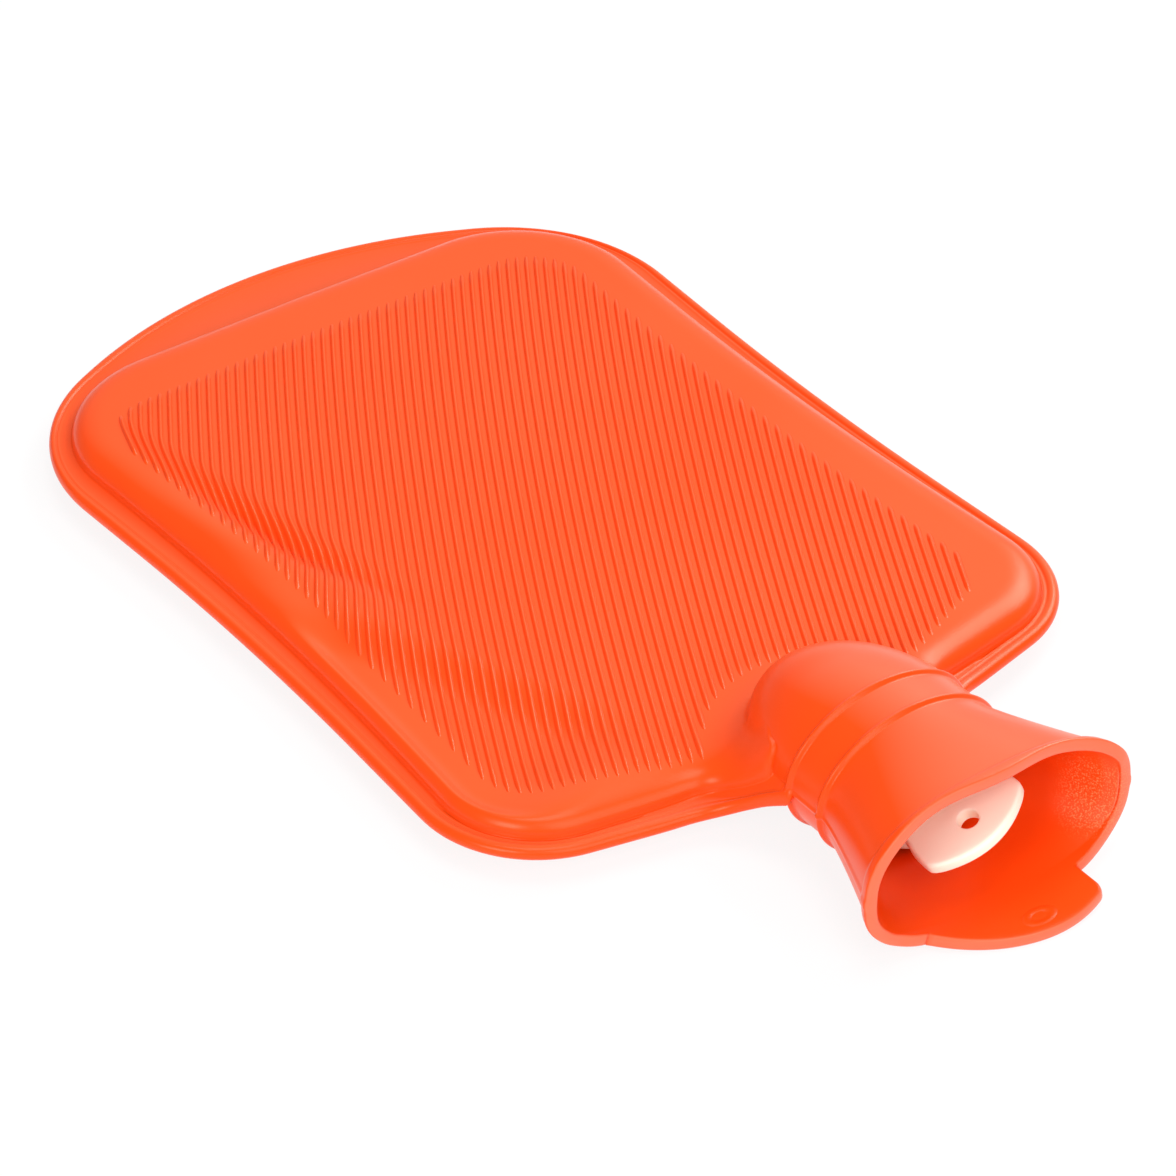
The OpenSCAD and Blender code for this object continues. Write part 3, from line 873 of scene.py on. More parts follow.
class Number:
    """A number socket or field that adds Math nodes when it is used in an expression."""

    def __init__(self, tree: bpy.types.NodeTree, socket: bpy.types.NodeSocket) -> None:
        """Wrap an output socket of a tree."""
        self.tree = tree
        self.socket = socket

    def _math(self, operation: str, *values: "Number | float", clamp: bool = False) -> "Number":
        """Add one Math node and return its result.

        Args:
            operation: name of the operation.
            values: its inputs.
            clamp: True to clamp the result to 0..1.

        Returns:
            The result.
        """
        node = self.tree.nodes.new("ShaderNodeMath")
        node.operation = operation
        node.use_clamp = clamp
        for place, value in zip(node.inputs, values):
            join(self.tree, place, value)
        return Number(self.tree, node.outputs[0])

    def __add__(self, other: "Number | float") -> "Number":
        """Return the sum."""
        return self._math("ADD", self, other)

    __radd__ = __add__

    def __sub__(self, other: "Number | float") -> "Number":
        """Return the difference."""
        return self._math("SUBTRACT", self, other)

    def __rsub__(self, other: float) -> "Number":
        """Return the difference from a plain number."""
        return self._math("SUBTRACT", other, self)

    def __mul__(self, other: "Number | float") -> "Number":
        """Return the product."""
        return self._math("MULTIPLY", self, other)

    __rmul__ = __mul__

    def __truediv__(self, other: "Number | float") -> "Number":
        """Return the quotient."""
        return self._math("DIVIDE", self, other)

    def __pow__(self, other: "Number | float") -> "Number":
        """Return the power."""
        return self._math("POWER", self, other)

    def below(self, other: "Number | float") -> "Number":
        """Return the smaller of the two."""
        return self._math("MINIMUM", self, other)

    def above(self, other: "Number | float") -> "Number":
        """Return the larger of the two."""
        return self._math("MAXIMUM", self, other)

    def sine(self) -> "Number":
        """Return the sine of an angle in radians."""
        return self._math("SINE", self)

    def hypot(self, other: "Number") -> "Number":
        """Return the length of a vector of two parts."""
        return (self * self + other * other) ** 0.5

    def rising(self, start: float, width: float) -> "Number":
        """Return 0 up to a start, and from there a rise to 1 over a width."""
        return ((self - start) * (1 / width)).clamped()

    def falling(self, end: float, width: float) -> "Number":
        """Return a fall from 1 over a width, to 0 from an end onwards."""
        return ((end - self) * (1 / width)).clamped()

    def clamped(self) -> "Number":
        """Return the number clamped to 0..1."""
        return self._math("ADD", self, 0.0, clamp=True)

    def eased(self) -> "Number":
        """Return the number clamped to 0..1 with soft ends."""
        u = self.clamped()
        return u * u * (3 - 2 * u)


def join(tree: bpy.types.NodeTree, place: bpy.types.NodeSocket, value: object) -> None:
    """Link a socket to an input, or set the input's own value.

    Args:
        tree: the node tree.
        place: the input socket.
        value: a Number, an output socket, or a plain value.
    """
    if isinstance(value, Number):
        tree.links.new(value.socket, place)
    elif isinstance(value, bpy.types.NodeSocket):
        tree.links.new(value, place)
    else:
        place.default_value = value


class Tree:
    """Adds nodes to a shader or geometry tree."""

    def __init__(self, tree: bpy.types.NodeTree) -> None:
        """Take the tree that the nodes go to."""
        self.tree = tree

    def node(self, kind: str, settings: dict[str, object] | None = None, **values: object) -> bpy.types.Node:
        """Add a node.

        Args:
            kind: the node's type.
            settings: the node's own settings, which are set first.
            values: input values or links, by socket name with _ for a space, or _0, _1 by place.

        Returns:
            The node.
        """
        node = self.tree.nodes.new(kind)
        for name, setting in (settings or {}).items():
            setattr(node, name, setting)
        self.feed(node, **values)
        return node

    def feed(self, node: bpy.types.Node, **values: object) -> None:
        """Link or set inputs of a node.

        Args:
            node: the node.
            values: values or links, by socket name with _ for a space, or _0, _1 by place.
        """
        for name, value in values.items():
            key: int | str = int(name[1:]) if name[1:].isdigit() else name.replace("_", " ")
            join(self.tree, node.inputs[key], value)

    def number(self, node: bpy.types.Node, output: int | str = 0) -> Number:
        """Return a node's output as a Number."""
        return Number(self.tree, node.outputs[output])

    def parts(self, vector: bpy.types.NodeSocket) -> tuple[Number, Number, Number]:
        """Return the three parts of a vector."""
        split = self.node("ShaderNodeSeparateXYZ", _0=vector)
        return self.number(split, 0), self.number(split, 1), self.number(split, 2)

    def vector(self, x: object, y: object, z: object) -> bpy.types.NodeSocket:
        """Return a vector made of three numbers."""
        return self.node("ShaderNodeCombineXYZ", _0=x, _1=y, _2=z).outputs[0]

    def mix(self, share: object, first: object, second: object) -> bpy.types.NodeSocket:
        """Return a mix of two colours.

        Args:
            share: share of the second colour.
            first: the first colour.
            second: the second colour.

        Returns:
            The mixed colour.
        """
        node = self.node("ShaderNodeMix", {"data_type": "RGBA"}, _0=share, _6=first, _7=second)
        return node.outputs[2]

    def stored(self, name: str) -> Number:
        """Return a stored attribute as a Number."""
        return self.number(self.node("GeometryNodeInputNamedAttribute", {"data_type": "FLOAT"}, Name=name))

    def noise(self, vector: bpy.types.NodeSocket, scale: float, detail: float = 2.0) -> Number:
        """Return a noise pattern from 0 to 1 at a scale per metre."""
        return self.number(self.node("ShaderNodeTexNoise", None, Vector=vector, Scale=scale, Detail=detail))


def new_material(name: str) -> tuple[bpy.types.Material, Tree, bpy.types.Node]:
    """Make a material.

    Args:
        name: its name.

    Returns:
        The material, its nodes and its main shader.
    """
    made = bpy.data.materials.new(name)
    made.use_nodes = True
    return made, Tree(made.node_tree), made.node_tree.nodes["Principled BSDF"]


Colour = tuple[float, float, float, float]
Place = tuple[Number, Number, Number]


@dataclass(frozen=True)
class Rubber:
    """Satin moulded rubber with a faint mottle, a pale painted sheen where the surface leans towards the
    lamps, a painted highlight on the lip's rim, and a few bright specks.

    Lengths are in millimetres and scales are per metre. The places of the grained patch and of the raised
    oval are across the bottle and along it from the mouth.
    """

    name: str = "moulded_rubber"
    light: Colour = (0.95, 0.072, 0.004, 1)
    deep: Colour = (0.95, 0.06, 0.001, 1)
    # painted sheen: pale colour that stands in for the lamps' reflection on faces that lean towards them
    sheen_colour: Colour = (0.97, 0.125, 0.035, 1)
    # painted sheen near the neck: paler, where the dome and funnel tops catch the top lamp
    neck_sheen_colour: Colour = (0.98, 0.17, 0.085, 1)
    speck: Colour = (1.0, 0.62, 0.25, 1)
    tint: Colour = (1.0, 0.6, 0.45, 1)
    mottle_scale: float = 38.0
    cloud_scale: float = 11.0
    fine_scale: float = 900.0
    coarse_scale: float = 2300.0
    speck_scale: float = 75.0
    speck_radius: float = 1 / 28
    speck_rarity: float = 0.975
    # strength, lean and spread of the painted sheen, which follows how the surface faces the lamps
    sheen_strength: float = 0.85
    sheen_lean: tuple[float, float, float] = (0.5, 0.35, 0.8)
    sheen_start: float = 1.9 / 3
    sheen_width: float = 1 / 3
    sheen_cloud: float = 0.2
    outside_blend: float = 2.5
    # painted highlight on the lip's rim: where it starts and how soft its edge is
    rim_highlight_start: float = 4.0
    rim_highlight_blend: float = 5 / 3
    # reach of the paler painted sheen from the collar
    neck_sheen_end: float = 26.0
    neck_sheen_blend: float = 100 / 9
    patch_place: tuple[float, float] = (37.0, 6.0)
    patch_radius: float = 150 / 13
    patch_blend: float = 100 / 13
    patch_low: float = 6.0
    patch_low_blend: float = 10 / 3
    patch_high: float = 92 / 3
    patch_high_blend: float = 20 / 3
    patch_grain: float = 1.5
    patch_sparkle: float = 0.3
    oval_place: tuple[float, float] = (5.8, -11.2)
    oval_half_size: tuple[float, float] = (3.6, 2.2)
    oval_sharpness: float = 2.6
    oval_top: float = 91 / 9
    oval_top_blend: float = 10 / 9
    oval_relief: float = 2.4
    roughness: float = 0.31
    mottle_roughness: float = 0.12
    patch_roughness: float = 0.1
    grain: float = 0.10
    relief_strength: float = 0.35
    relief_depth: float = 0.3

    def painted_sheen_share(self, tree: Tree, datum: Datum, place: Place, cloud: Number) -> Number:
        """Return the share of the painted sheen: a pale colour painted on the outside where the surface leans
        towards the lamps, and a painted highlight on the lip's rim.

        Args:
            tree: the material's nodes.
            datum: places of the bottle.
            place: object coordinates.
            cloud: a slow noise.

        Returns:
            The share.
        """
        x, y, z = place
        nx, ny, nz = tree.parts(tree.node("ShaderNodeTexCoord").outputs["Normal"])
        outward = nx * x + nz * (z - datum.neck_height * MM)
        outside = outward.above(y - datum.collar_y * MM).rising(0, self.outside_blend * MM)
        # painted sheen: stronger where the normal leans towards the lamps, on the outside only
        across, along, up = self.sheen_lean
        lean = nx * across + ny * along + nz * up + cloud * self.sheen_cloud
        # painted highlight on the rim, where it faces the front lamp
        rim = ny.falling(-0.3, 0.5) * y.falling((datum.mouth_y + self.rim_highlight_start) * MM, self.rim_highlight_blend * MM)
        return (lean.rising(self.sheen_start, self.sheen_width) * outside).above(rim) * self.sheen_strength

    def specks(self, tree: Tree, place: bpy.types.NodeSocket) -> Number:
        """Return the share of the few bright specks.

        Args:
            tree: the material's nodes.
            place: object coordinates.

        Returns:
            The share.
        """
        cells = tree.node("ShaderNodeTexVoronoi", None, Vector=place, Scale=self.speck_scale)
        chosen = tree.number(tree.node("ShaderNodeSeparateColor", None, _0=cells.outputs["Color"]))
        near = tree.number(cells, "Distance").falling(self.speck_radius, self.speck_radius)
        return near * chosen.rising(self.speck_rarity, (1 - self.speck_rarity) / 2)

    def grained_patch(self, datum: Datum, place: Place) -> Number:
        """Return the share of the grained patch, on the inside of the funnel's right wall.

        Args:
            datum: places of the bottle.
            place: object coordinates.

        Returns:
            The share.
        """
        x, y, z = place
        across, along = self.patch_place
        away = (x - across * MM).hypot(y - (datum.mouth_y + along) * MM)
        near = away.falling(self.patch_radius * MM, self.patch_blend * MM).eased()
        over = z.rising(self.patch_low * MM, self.patch_low_blend * MM)
        return near * over * z.falling(self.patch_high * MM, self.patch_high_blend * MM)

    def oval(self, datum: Datum, place: Place) -> Number:
        """Return the height of the raised oval on the tongue.

        Args:
            datum: places of the bottle.
            place: object coordinates.

        Returns:
            The height, from 0 to 1.
        """
        x, y, z = place
        across = (x - self.oval_place[0] * MM) * (1 / (self.oval_half_size[0] * MM))
        along = (y - (datum.mouth_y + self.oval_place[1]) * MM) * (1 / (self.oval_half_size[1] * MM))
        off_line = (across.hypot(along) - 1) * self.oval_sharpness
        return (1 - off_line * off_line).clamped() * z.falling(self.oval_top * MM, self.oval_top_blend * MM)

    def material(self, datum: Datum) -> bpy.types.Material:
        """Make the material.

        Args:
            datum: places of the bottle, for the painted sheen, the grained patch and the oval.

        Returns:
            The material.
        """
        made, tree, shader = new_material(self.name)
        socket = tree.node("ShaderNodeTexCoord").outputs["Object"]
        place = tree.parts(socket)
        mottle = tree.noise(socket, self.mottle_scale, 3)
        cloud = tree.noise(socket, self.cloud_scale, 2)
        fine = tree.noise(socket, self.fine_scale, 3)
        coarse = tree.noise(socket, self.coarse_scale, 1)
        patch = self.grained_patch(datum, place)
        # the painted sheen is paler near the neck
        by_neck = place[1].falling((datum.collar_y + self.neck_sheen_end) * MM, self.neck_sheen_blend * MM)
        colour = tree.mix(mottle.rising(0.25, 0.625) * 0.5, self.light, self.deep)
        # painted sheen and highlight: pale colour mixed in by how the surface faces the lamps
        sheen_tone = tree.mix(by_neck, self.sheen_colour, self.neck_sheen_colour)
        colour = tree.mix(self.painted_sheen_share(tree, datum, place, cloud), colour, sheen_tone)
        colour = tree.mix(self.specks(tree, socket), colour, self.speck)
        colour = tree.mix(patch * coarse.rising(0.5, 0.2) * self.patch_sparkle, colour, self.speck)
        dull = mottle * self.mottle_roughness + (self.roughness - self.mottle_roughness / 2)
        relief = fine * self.grain + coarse * patch * self.patch_grain
        height = relief + self.oval(datum, place) * self.oval_relief
        depth = self.relief_depth * MM
        bump = tree.node("ShaderNodeBump", None, Strength=self.relief_strength, Distance=depth, Height=height)
        dull = dull + patch * self.patch_roughness
        tree.feed(shader, Base_Color=colour, Roughness=dull, Normal=bump.outputs[0])
        tree.feed(shader, Specular_IOR_Level=0.5, Specular_Tint=self.tint)
        return made


@dataclass(frozen=True)
class Moulding:
    """Moulded plastic or rubber in one tone, with a soft mottle and a fine skin; scales are per metre."""

    name: str
    light: Colour
    deep: Colour
    roughness: float
    skin: float = 0.05
    cloud_scale: float = 60.0
    fine_scale: float = 1400.0
    cloud_roughness: float = 0.1
    relief_strength: float = 0.3
    relief_depth: float = 0.2

    def material(self) -> bpy.types.Material:
        """Make the material.

        Returns:
            The material.
        """
        made, tree, shader = new_material(self.name)
        place = tree.node("ShaderNodeTexCoord").outputs["Object"]
        cloud = tree.noise(place, self.cloud_scale, 3)
        fine = tree.noise(place, self.fine_scale, 2)
        height = fine * self.skin
        depth = self.relief_depth * MM
        bump = tree.node("ShaderNodeBump", None, Strength=self.relief_strength, Distance=depth, Height=height)
        colour = tree.mix(cloud, self.light, self.deep)
        dull = cloud * self.cloud_roughness + (self.roughness - self.cloud_roughness / 2)
        tree.feed(shader, Base_Color=colour, Roughness=dull, Normal=bump.outputs[0])
        return made


def dress(piece: bpy.types.Object, material: bpy.types.Material) -> None:
    """Give a piece one material."""
    piece.data.materials.clear()
    piece.data.materials.append(material)


@dataclass
class BagRings:
    """Rings of points round the bag, from its flange's edge to the middle of each panel, in millimetres."""

    bag: BagShape
    neck_reach: float = 5.5
    neck_fade: float = 5.0
    neck_sink: float = 9.0
    sink_reach: float = 4.0
    back_slope: float = 0.6
    back_depth: float = 90.0
    flange_limit: float = 0.93

    def __post_init__(self) -> None:
        """Find the three outlines, and the width of the front panel's rounded shoulder along them."""
        b = self.bag
        self.flange = b.flange_outline()
        self.foot = b.foot_outline()
        self.brow = b.brow_outline()
        self.gap = np.linalg.norm(self.foot - self.flange, axis=1)[:, None]
        by_neck = ease((b.neck.half_width + self.neck_reach - np.abs(self.foot[:, 0])) / self.neck_fade)
        by_neck = by_neck * (self.foot[:, 1] < b.shoulder_y)
        self.band = b.shoulder_band + (b.neck_band - b.shoulder_band) * by_neck

    def on_flange(self, width: float, rise: float) -> Points:
        """Return a ring on the flange, at a distance inside its edge and a height over the seam."""
        xy = self.flange + (self.foot - self.flange) * np.minimum(width / self.gap, self.flange_limit)
        return np.column_stack([xy, self.bag.seam_z(*xy.T) + rise])

    def on_step(self, out: float, rise: float) -> Points:
        """Return a ring on the step at the front panel's foot, a little outside it."""
        return np.column_stack([inset(self.foot, -out), self.bag.seam_z(*self.foot.T) + rise])

    def on_panel(self, xy: Points, share: Points | float, sink: float, facing: Facing) -> Points:
        """Return a ring on a panel.

        Args:
            xy: its places.
            share: share of the panel's full height.
            sink: depth by which the dome's part lies inside the neck's own surface.
            facing: the panel.

        Returns:
            The ring's points.
        """
        height = self.bag.front_z if facing is Facing.FRONT else self.bag.back_z
        return np.column_stack([xy, height(*xy.T, share, sink)])

    def on_shoulder(self, distance: float, facing: Facing) -> Points:
        """Return a ring on a panel's rounded shoulder.

        Args:
            distance: how far inside the panel's foot.
            facing: the panel.

        Returns:
            The ring's points.
        """
        b = self.bag
        xy = self.foot + (self.brow - self.foot) * distance / b.brow_inset
        sink = self.neck_sink * (1 - ease(distance / self.sink_reach))
        if facing is Facing.FRONT:
            return self.on_panel(xy, b.share(distance, self.band), sink, facing)
        return self.on_panel(xy, b.share(distance * self.back_slope, b.shoulder_band), sink, facing)

    def inside(self, reach: float, facing: Facing) -> Points:
        """Return a ring inside a panel's shoulder.

        Args:
            reach: share of the way from the middle of the panel to the shoulder.
            facing: the panel.

        Returns:
            The ring's points.
        """
        b = self.bag
        xy = b.centre + (self.brow - b.centre) * reach
        if facing is Facing.FRONT:
            return self.on_panel(xy, 1.0, 0.0, facing)
        depth = (1 - reach) * self.back_depth + b.brow_inset
        return self.on_panel(xy, b.share(depth * self.back_slope, b.shoulder_band), 0.0, facing)


@dataclass
class MouldedBottle:
    """The one-piece rubber moulding: bag, seam flange, dome, collar, funnel and tongue, in millimetres."""

    datum: Datum
    neck: NeckShape = field(init=False)
    bag: BagShape = field(init=False)
    wall: float = 2.6
    lip_round: float = 0.9
    lower_lip: float = 2.5
    lip_wave: float = 1.6
    lip_swing: float = 1.5
    lip_swing_top: float = 0.8
    tongue_length: float = 14.3
    tongue_half_width: float = 22.5
    tongue_middle: float = 9.0
    tongue_reach: float = 31.8
    tongue_least: float = 0.4
    tongue_corner: float = 1.8
    parting_height: float = 0.35
    parting_width: float = 0.8
    parting_end: float = 6.0
    seam_columns: float = 5.0
    rim_squareness: float = 0.7
    bore_radius: float = 15.26
    bore_depth: float = 24.06
    bore_edge: float = 0.4

    def __post_init__(self) -> None:
        """Make the neck's and the bag's shapes from the same places."""
        self.neck = NeckShape(self.datum)
        self.bag = BagShape(self.datum, self.neck)

    def edge_profile(self) -> list[tuple[float, float]]:
        """Return the flange's section from its edge inwards: distance and height over the seam.

        Returns:
            The places on its upper side.
        """
        b = self.bag
        half_width = b.bead_width / 2
        half_height = b.bead_thickness / 2
        bead = []
        for degrees in (22, 45, 68, 90, 108, 124, 137):
            t = math.radians(degrees)
            bead.append((half_width * (1 - math.cos(t)), half_height * math.sin(t)))
        web = b.web_thickness / 2
        inwards = ((-0.15, 0.1), (0.35, -0.1), (1.2, -0.1))
        return bead + [(b.bead_width + width, web + rise) for width, rise in inwards]

    def bag_shell(self, shell: Shell) -> None:
        """Add the bag's closed surface.

        Args:
            shell: the shell that gets it.
        """
        rings = BagRings(self.bag)
        web = self.bag.web_thickness / 2
        step = self.bag.step_height
        profile = self.edge_profile()
        outer_reach = 1 - 0.5 * np.linspace(0, 1, 44) ** 1.15
        front_reach = np.concatenate([outer_reach, np.linspace(0.5, 0.02, 16)[1:]])[::-1]
        front_steps = (11, 10, 9, 8, 7, 6, 5, 4.2, 3.4, 2.7, 2.1, 1.6, 1.15, 0.8, 0.5, 0.25, 0.1)
        foot_steps = ((0.0, step), (0.12, step * 0.85), (0.22, step * 0.5), (0.3, 0.1), (0.55, -0.08))
        back_steps = (0.0, 0.4, 1, 1.8, 2.8, 4, 5.5, 7, 8.5, 10)
        back_reach = np.concatenate([np.linspace(1, 0.5, 26), np.linspace(0.45, 0.02, 9)])
        loops = [
            *[rings.inside(reach, Facing.FRONT) for reach in front_reach],
            *[rings.on_shoulder(distance, Facing.FRONT) for distance in front_steps],
            *[rings.on_step(out, web + rise) for out, rise in foot_steps],
            *[rings.on_flange(width, rise) for width, rise in profile[::-1]],
            rings.on_flange(0.0, 0.0),
            *[rings.on_flange(width, -rise) for width, rise in profile],
            *[rings.on_shoulder(distance, Facing.BACK) for distance in back_steps],
            *[rings.inside(reach, Facing.BACK) for reach in back_reach],
        ]
        numbers = shell.stack(loops)
        for end in (0, -1):
            shell.fan(numbers[end], np.array([*self.bag.centre, loops[end][:, 2].mean()]))

    def bearings(self) -> tuple[Points, int, int]:
        """Return the bearings of the neck's columns, which are closer at the sides and on the tongue.

        Returns:
            The bearings in radians, and the numbers of the tongue's left and right side columns.
        """
        a, _, square = self.neck.sizes(np.array(self.datum.mouth_y))
        half = self.tongue_half_width
        corner = half - self.tongue_corner
        side = math.acos((half / float(a)) ** (float(square) / 2))
        near = math.radians(self.seam_columns)
        full = 2 * math.pi
        tongue_x = np.concatenate([np.linspace(-half, corner, 44)[1:], np.linspace(corner, half, 6)[1:-1]])
        tongue = full - np.arccos(signed_power(tongue_x / float(a), float(square) / 2))
        before = [
            np.linspace(0, near, 9)[:-1],
            np.linspace(near, math.pi - near, 84)[:-1],
            np.linspace(math.pi - near, math.pi + near, 17)[:-1],
            np.linspace(math.pi + near, math.pi + side, 22),
        ]
        after = [np.linspace(full - side, full - near, 22)[:-1], np.linspace(full - near, full, 9)[:-1]]
        left = sum(len(columns) for columns in before) - 1
        return np.concatenate([*before, tongue, *after]), left, left + len(tongue) + 1

    def lip_y(self, x: Points, angle: Points) -> Points:
        """Return the lip's place, which stands out further in its lower half and at its right.

        Args:
            x: places across the mouth.
            angle: bearings about the neck's axis.

        Returns:
            Places along the bottle.
        """
        a = self.neck.mouth_half_width
        rise = np.sin(angle)
        over = self.datum.mouth_y + self.lip_wave * np.sin(math.pi * np.clip(np.abs(x) / a, 0, 1)) ** 2
        under = self.datum.mouth_y - self.lower_lip * ease((a - np.abs(x)) / (a - self.tongue_half_width))
        lower = ease((self.lip_swing_top - rise) / self.lip_swing_top)
        swung = self.lip_swing * ease(x / self.tongue_half_width) * lower
        return np.where(rise >= -NO_LENGTH, over, under) - swung

    def tongue_y(self, x: Points) -> Points:
        """Return the place of the tongue's front edge, which runs into the lip on its left.

        Args:
            x: places across the mouth.

        Returns:
            Places along the bottle.
        """
        bow = 1 - ((x - self.tongue_middle) / self.tongue_reach) ** 2
        front = self.datum.mouth_y - self.lower_lip - np.maximum(self.tongue_length * bow, self.tongue_least)
        past = np.clip((x - self.tongue_half_width + self.tongue_corner) / self.tongue_corner, 0, 1)
        return front + self.tongue_corner * (1 - np.sqrt(1 - past**2))

    def neck_rows(self, end_y: Points) -> list[Points]:
        """Return the rows of the neck's wall, from the dome's nose to the lip.

        Args:
            end_y: place of the lip at each column.

        Returns:
            The places along the bottle of each row.
        """
        d = self.datum
        dome = d.collar_y + self.neck.dome_length * np.cos(np.radians(np.linspace(2, 87, 34)))
        about_ring = np.linspace(1.7, -1.7, 13)
        collar = np.linspace(d.collar_y - 3, d.ring_y + 3, 6)
        level = np.concatenate([dome, d.collar_y + about_ring, collar, d.ring_y + about_ring])
        start = level[-1]
        shares = np.concatenate([np.linspace(0, 0.86, 20)[1:], np.linspace(0.86, 1, 9)[1:]])
        return [np.full_like(end_y, y) for y in level] + [start + (end_y - start) * share for share in shares]

    def tongue_walls(self, x: Points, angle: Points, lip: Points) -> tuple[list[Points], list[Points]]:
        """Return the tongue's outer and inner wall, row by row beyond the lip.

        Args:
            x: places of the tongue's columns across the mouth.
            angle: their bearings.
            lip: their places along the bottle at the lip.

        Returns:
            The outer rows and the inner rows.
        """
        end = self.tongue_y(x) + self.lip_round
        rows = [lip + (end - lip) * share for share in np.linspace(0, 1, 15)]
        outer = [self.neck.place(y, angle, np.full_like(y, self.neck.lip_bead)) for y in rows[1:]]
        plain = np.stack([self.neck.place(y, angle, np.zeros_like(y)) for y in rows])
        inner = plain - self.surface_normals(plain, closed=False) * self.wall
        return outer, list(inner[1:])

    def neck_shell(self, shell: Shell) -> None:
        """Add the dome, collar, funnel and tongue as one closed wall.

        Args:
            shell: the shell that gets it.
        """
        d = self.datum
        n = self.neck
        angle, left, right = self.bearings()
        mouth_x = n.place(np.full_like(angle, d.mouth_y), angle, np.zeros_like(angle))[:, 0] - n.mouth_shift
        end_y = self.lip_y(mouth_x, angle) + self.lip_round
        rows = self.neck_rows(end_y)
        means = np.array([row.mean() for row in rows])
        fade = ease((d.collar_y + self.parting_end - means) / self.parting_end)
        ridge = self.parting_height * np.exp(-((np.sin(angle) * n.half_width / self.parting_width) ** 2))
        outer = shell.stack([n.place(y, angle, n.bumps(y) + ridge * share) for y, share in zip(rows, fade)])
        shell.fan(outer[0], np.array([0, d.collar_y + n.dome_length, d.neck_height]))
        plain = np.stack([n.place(y, angle, np.zeros_like(y)) for y in rows])
        walls = (plain - self.surface_normals(plain) * self.wall)[means <= d.seat_y]
        walls[0, :, 1] = d.seat_y
        inner = shell.stack(walls)
        self.seat(shell, inner[0], angle)
        tongue = slice(left, right + 1)
        above, below = self.tongue_walls(mouth_x[tongue], angle[tongue], end_y[tongue])
        tops = self.add_tongue(shell, outer[-1][tongue], above)
        unders = self.add_tongue(shell, inner[-1][tongue], below)
        outer_edge = self.free_edge(outer[-1], tops, left, right)
        self.rim(shell, outer_edge, self.free_edge(inner[-1], unders, left, right))

    def surface_normals(self, grid: Points, closed: bool = True) -> Points:
        """Return the outward normals of a grid of rows along the neck and columns about it.

        Args:
            grid: points by row, column and axis.
            closed: True where the columns run all the way round.

        Returns:
            Unit vectors by row, column and axis.
        """
        down = np.gradient(grid, axis=0)
        if closed:
            ahead = np.roll(grid, -1, axis=1) - grid
            behind = grid - np.roll(grid, 1, axis=1)
            near = np.linalg.norm(behind, axis=2)[..., None]
            far = np.linalg.norm(ahead, axis=2)[..., None]
            round_it = ahead / (far + NO_LENGTH) * near + behind / (near + NO_LENGTH) * far
        else:
            round_it = np.gradient(grid, axis=1)
        normal = np.cross(round_it, down)
        normal /= np.linalg.norm(normal, axis=2)[..., None] + NO_LENGTH
        outwards = grid - np.array([0, 0, self.datum.neck_height])
        outwards[..., 1] = 0
        sign = np.sign((normal * outwards).sum(axis=2).mean())
        return normal * sign

    def add_tongue(self, shell: Shell, base: Points, rows: list[Points]) -> list[Points]:
        """Add the tongue's rows beyond the lip and return all its rows' numbers.

        Args:
            shell: the shell that gets them.
            base: numbers of the lip's row on the tongue's columns.
            rows: points of the rows beyond it.

        Returns:
            The numbers of each row, the base first.
        """
        numbers = [base]
        for row in rows:
            numbers.append(shell.loop(row))
            shell.bridge(numbers[-2], numbers[-1], closed=False)
        return numbers

    def seat(self, shell: Shell, rim: Points, angle: Points) -> None:
        """Add the seat about the insert and the pocket that holds it.

        Args:
            shell: the shell that gets them.
            rim: numbers of the inner wall's first row.
            angle: bearings of its columns.
        """
        d = self.datum
        about = np.column_stack([np.cos(angle), np.zeros_like(angle), np.sin(angle)])
        bore = self.bore_radius
        sections = ((bore + self.bore_edge, 0), (bore, self.bore_edge), (bore, self.bore_depth))
        places = [(radius, np.array([0, d.seat_y + depth, d.neck_height])) for radius, depth in sections]
        numbers = shell.stack([about * radius + centre for radius, centre in places])
        shell.bridge(rim, numbers[0])
        shell.fan(numbers[-1], places[-1][1])

    def free_edge(self, row: Points, tongue: list[Points], left: int, right: int) -> Points:
        """Return the way along a wall's free edge, round the lip and round the tongue.

        Args:
            row: numbers of the wall's last row.
            tongue: numbers of the tongue's rows.
            left: column of the tongue's left side.
            right: column of the tongue's right side.

        Returns:
            The numbers in order.
        """
        out = [numbers[0] for numbers in tongue[1:]]
        back = [numbers[-1] for numbers in tongue[:0:-1]]
        return np.array([*row[: left + 1], *out, *tongue[-1][1:-1], *back, *row[right:]])

    def rim(self, shell: Shell, a: Points, b: Points) -> None:
        """Close the lip and the tongue with a rounded rim.

        Args:
            shell: the shell that gets the rim.
            a: numbers along the outer wall's free edge.
            b: numbers along the inner wall's free edge.
        """
        points = np.concatenate(shell.points)
        middle = (points[a] + points[b]) / 2
        along = np.roll(middle, -1, axis=0) - np.roll(middle, 1, axis=0)
        through = (points[a] - points[b]) / 2
        out = np.cross(along, through)
        out /= np.linalg.norm(out, axis=1)[:, None]
        if out[:, 1].mean() > 0:
            out = -out
        loops = [a]
        for degrees in (20, 40, 60, 90, 120, 140, 160):
            t = math.radians(degrees)
            c = signed_power(math.cos(t), self.rim_squareness)
            s = signed_power(math.sin(t), self.rim_squareness)
            loops.append(shell.loop(middle + through * c + out * self.lip_round * s))
        loops.append(b)
        for first, second in zip(loops, loops[1:]):
            shell.bridge(first, second)

    def make(self) -> bpy.types.Object:
        """Make the moulding's mesh.

        Returns:
            The new object.
        """
        shell = Shell()
        self.bag_shell(shell)
        self.neck_shell(shell)
        return shell.make("bottle_moulding")


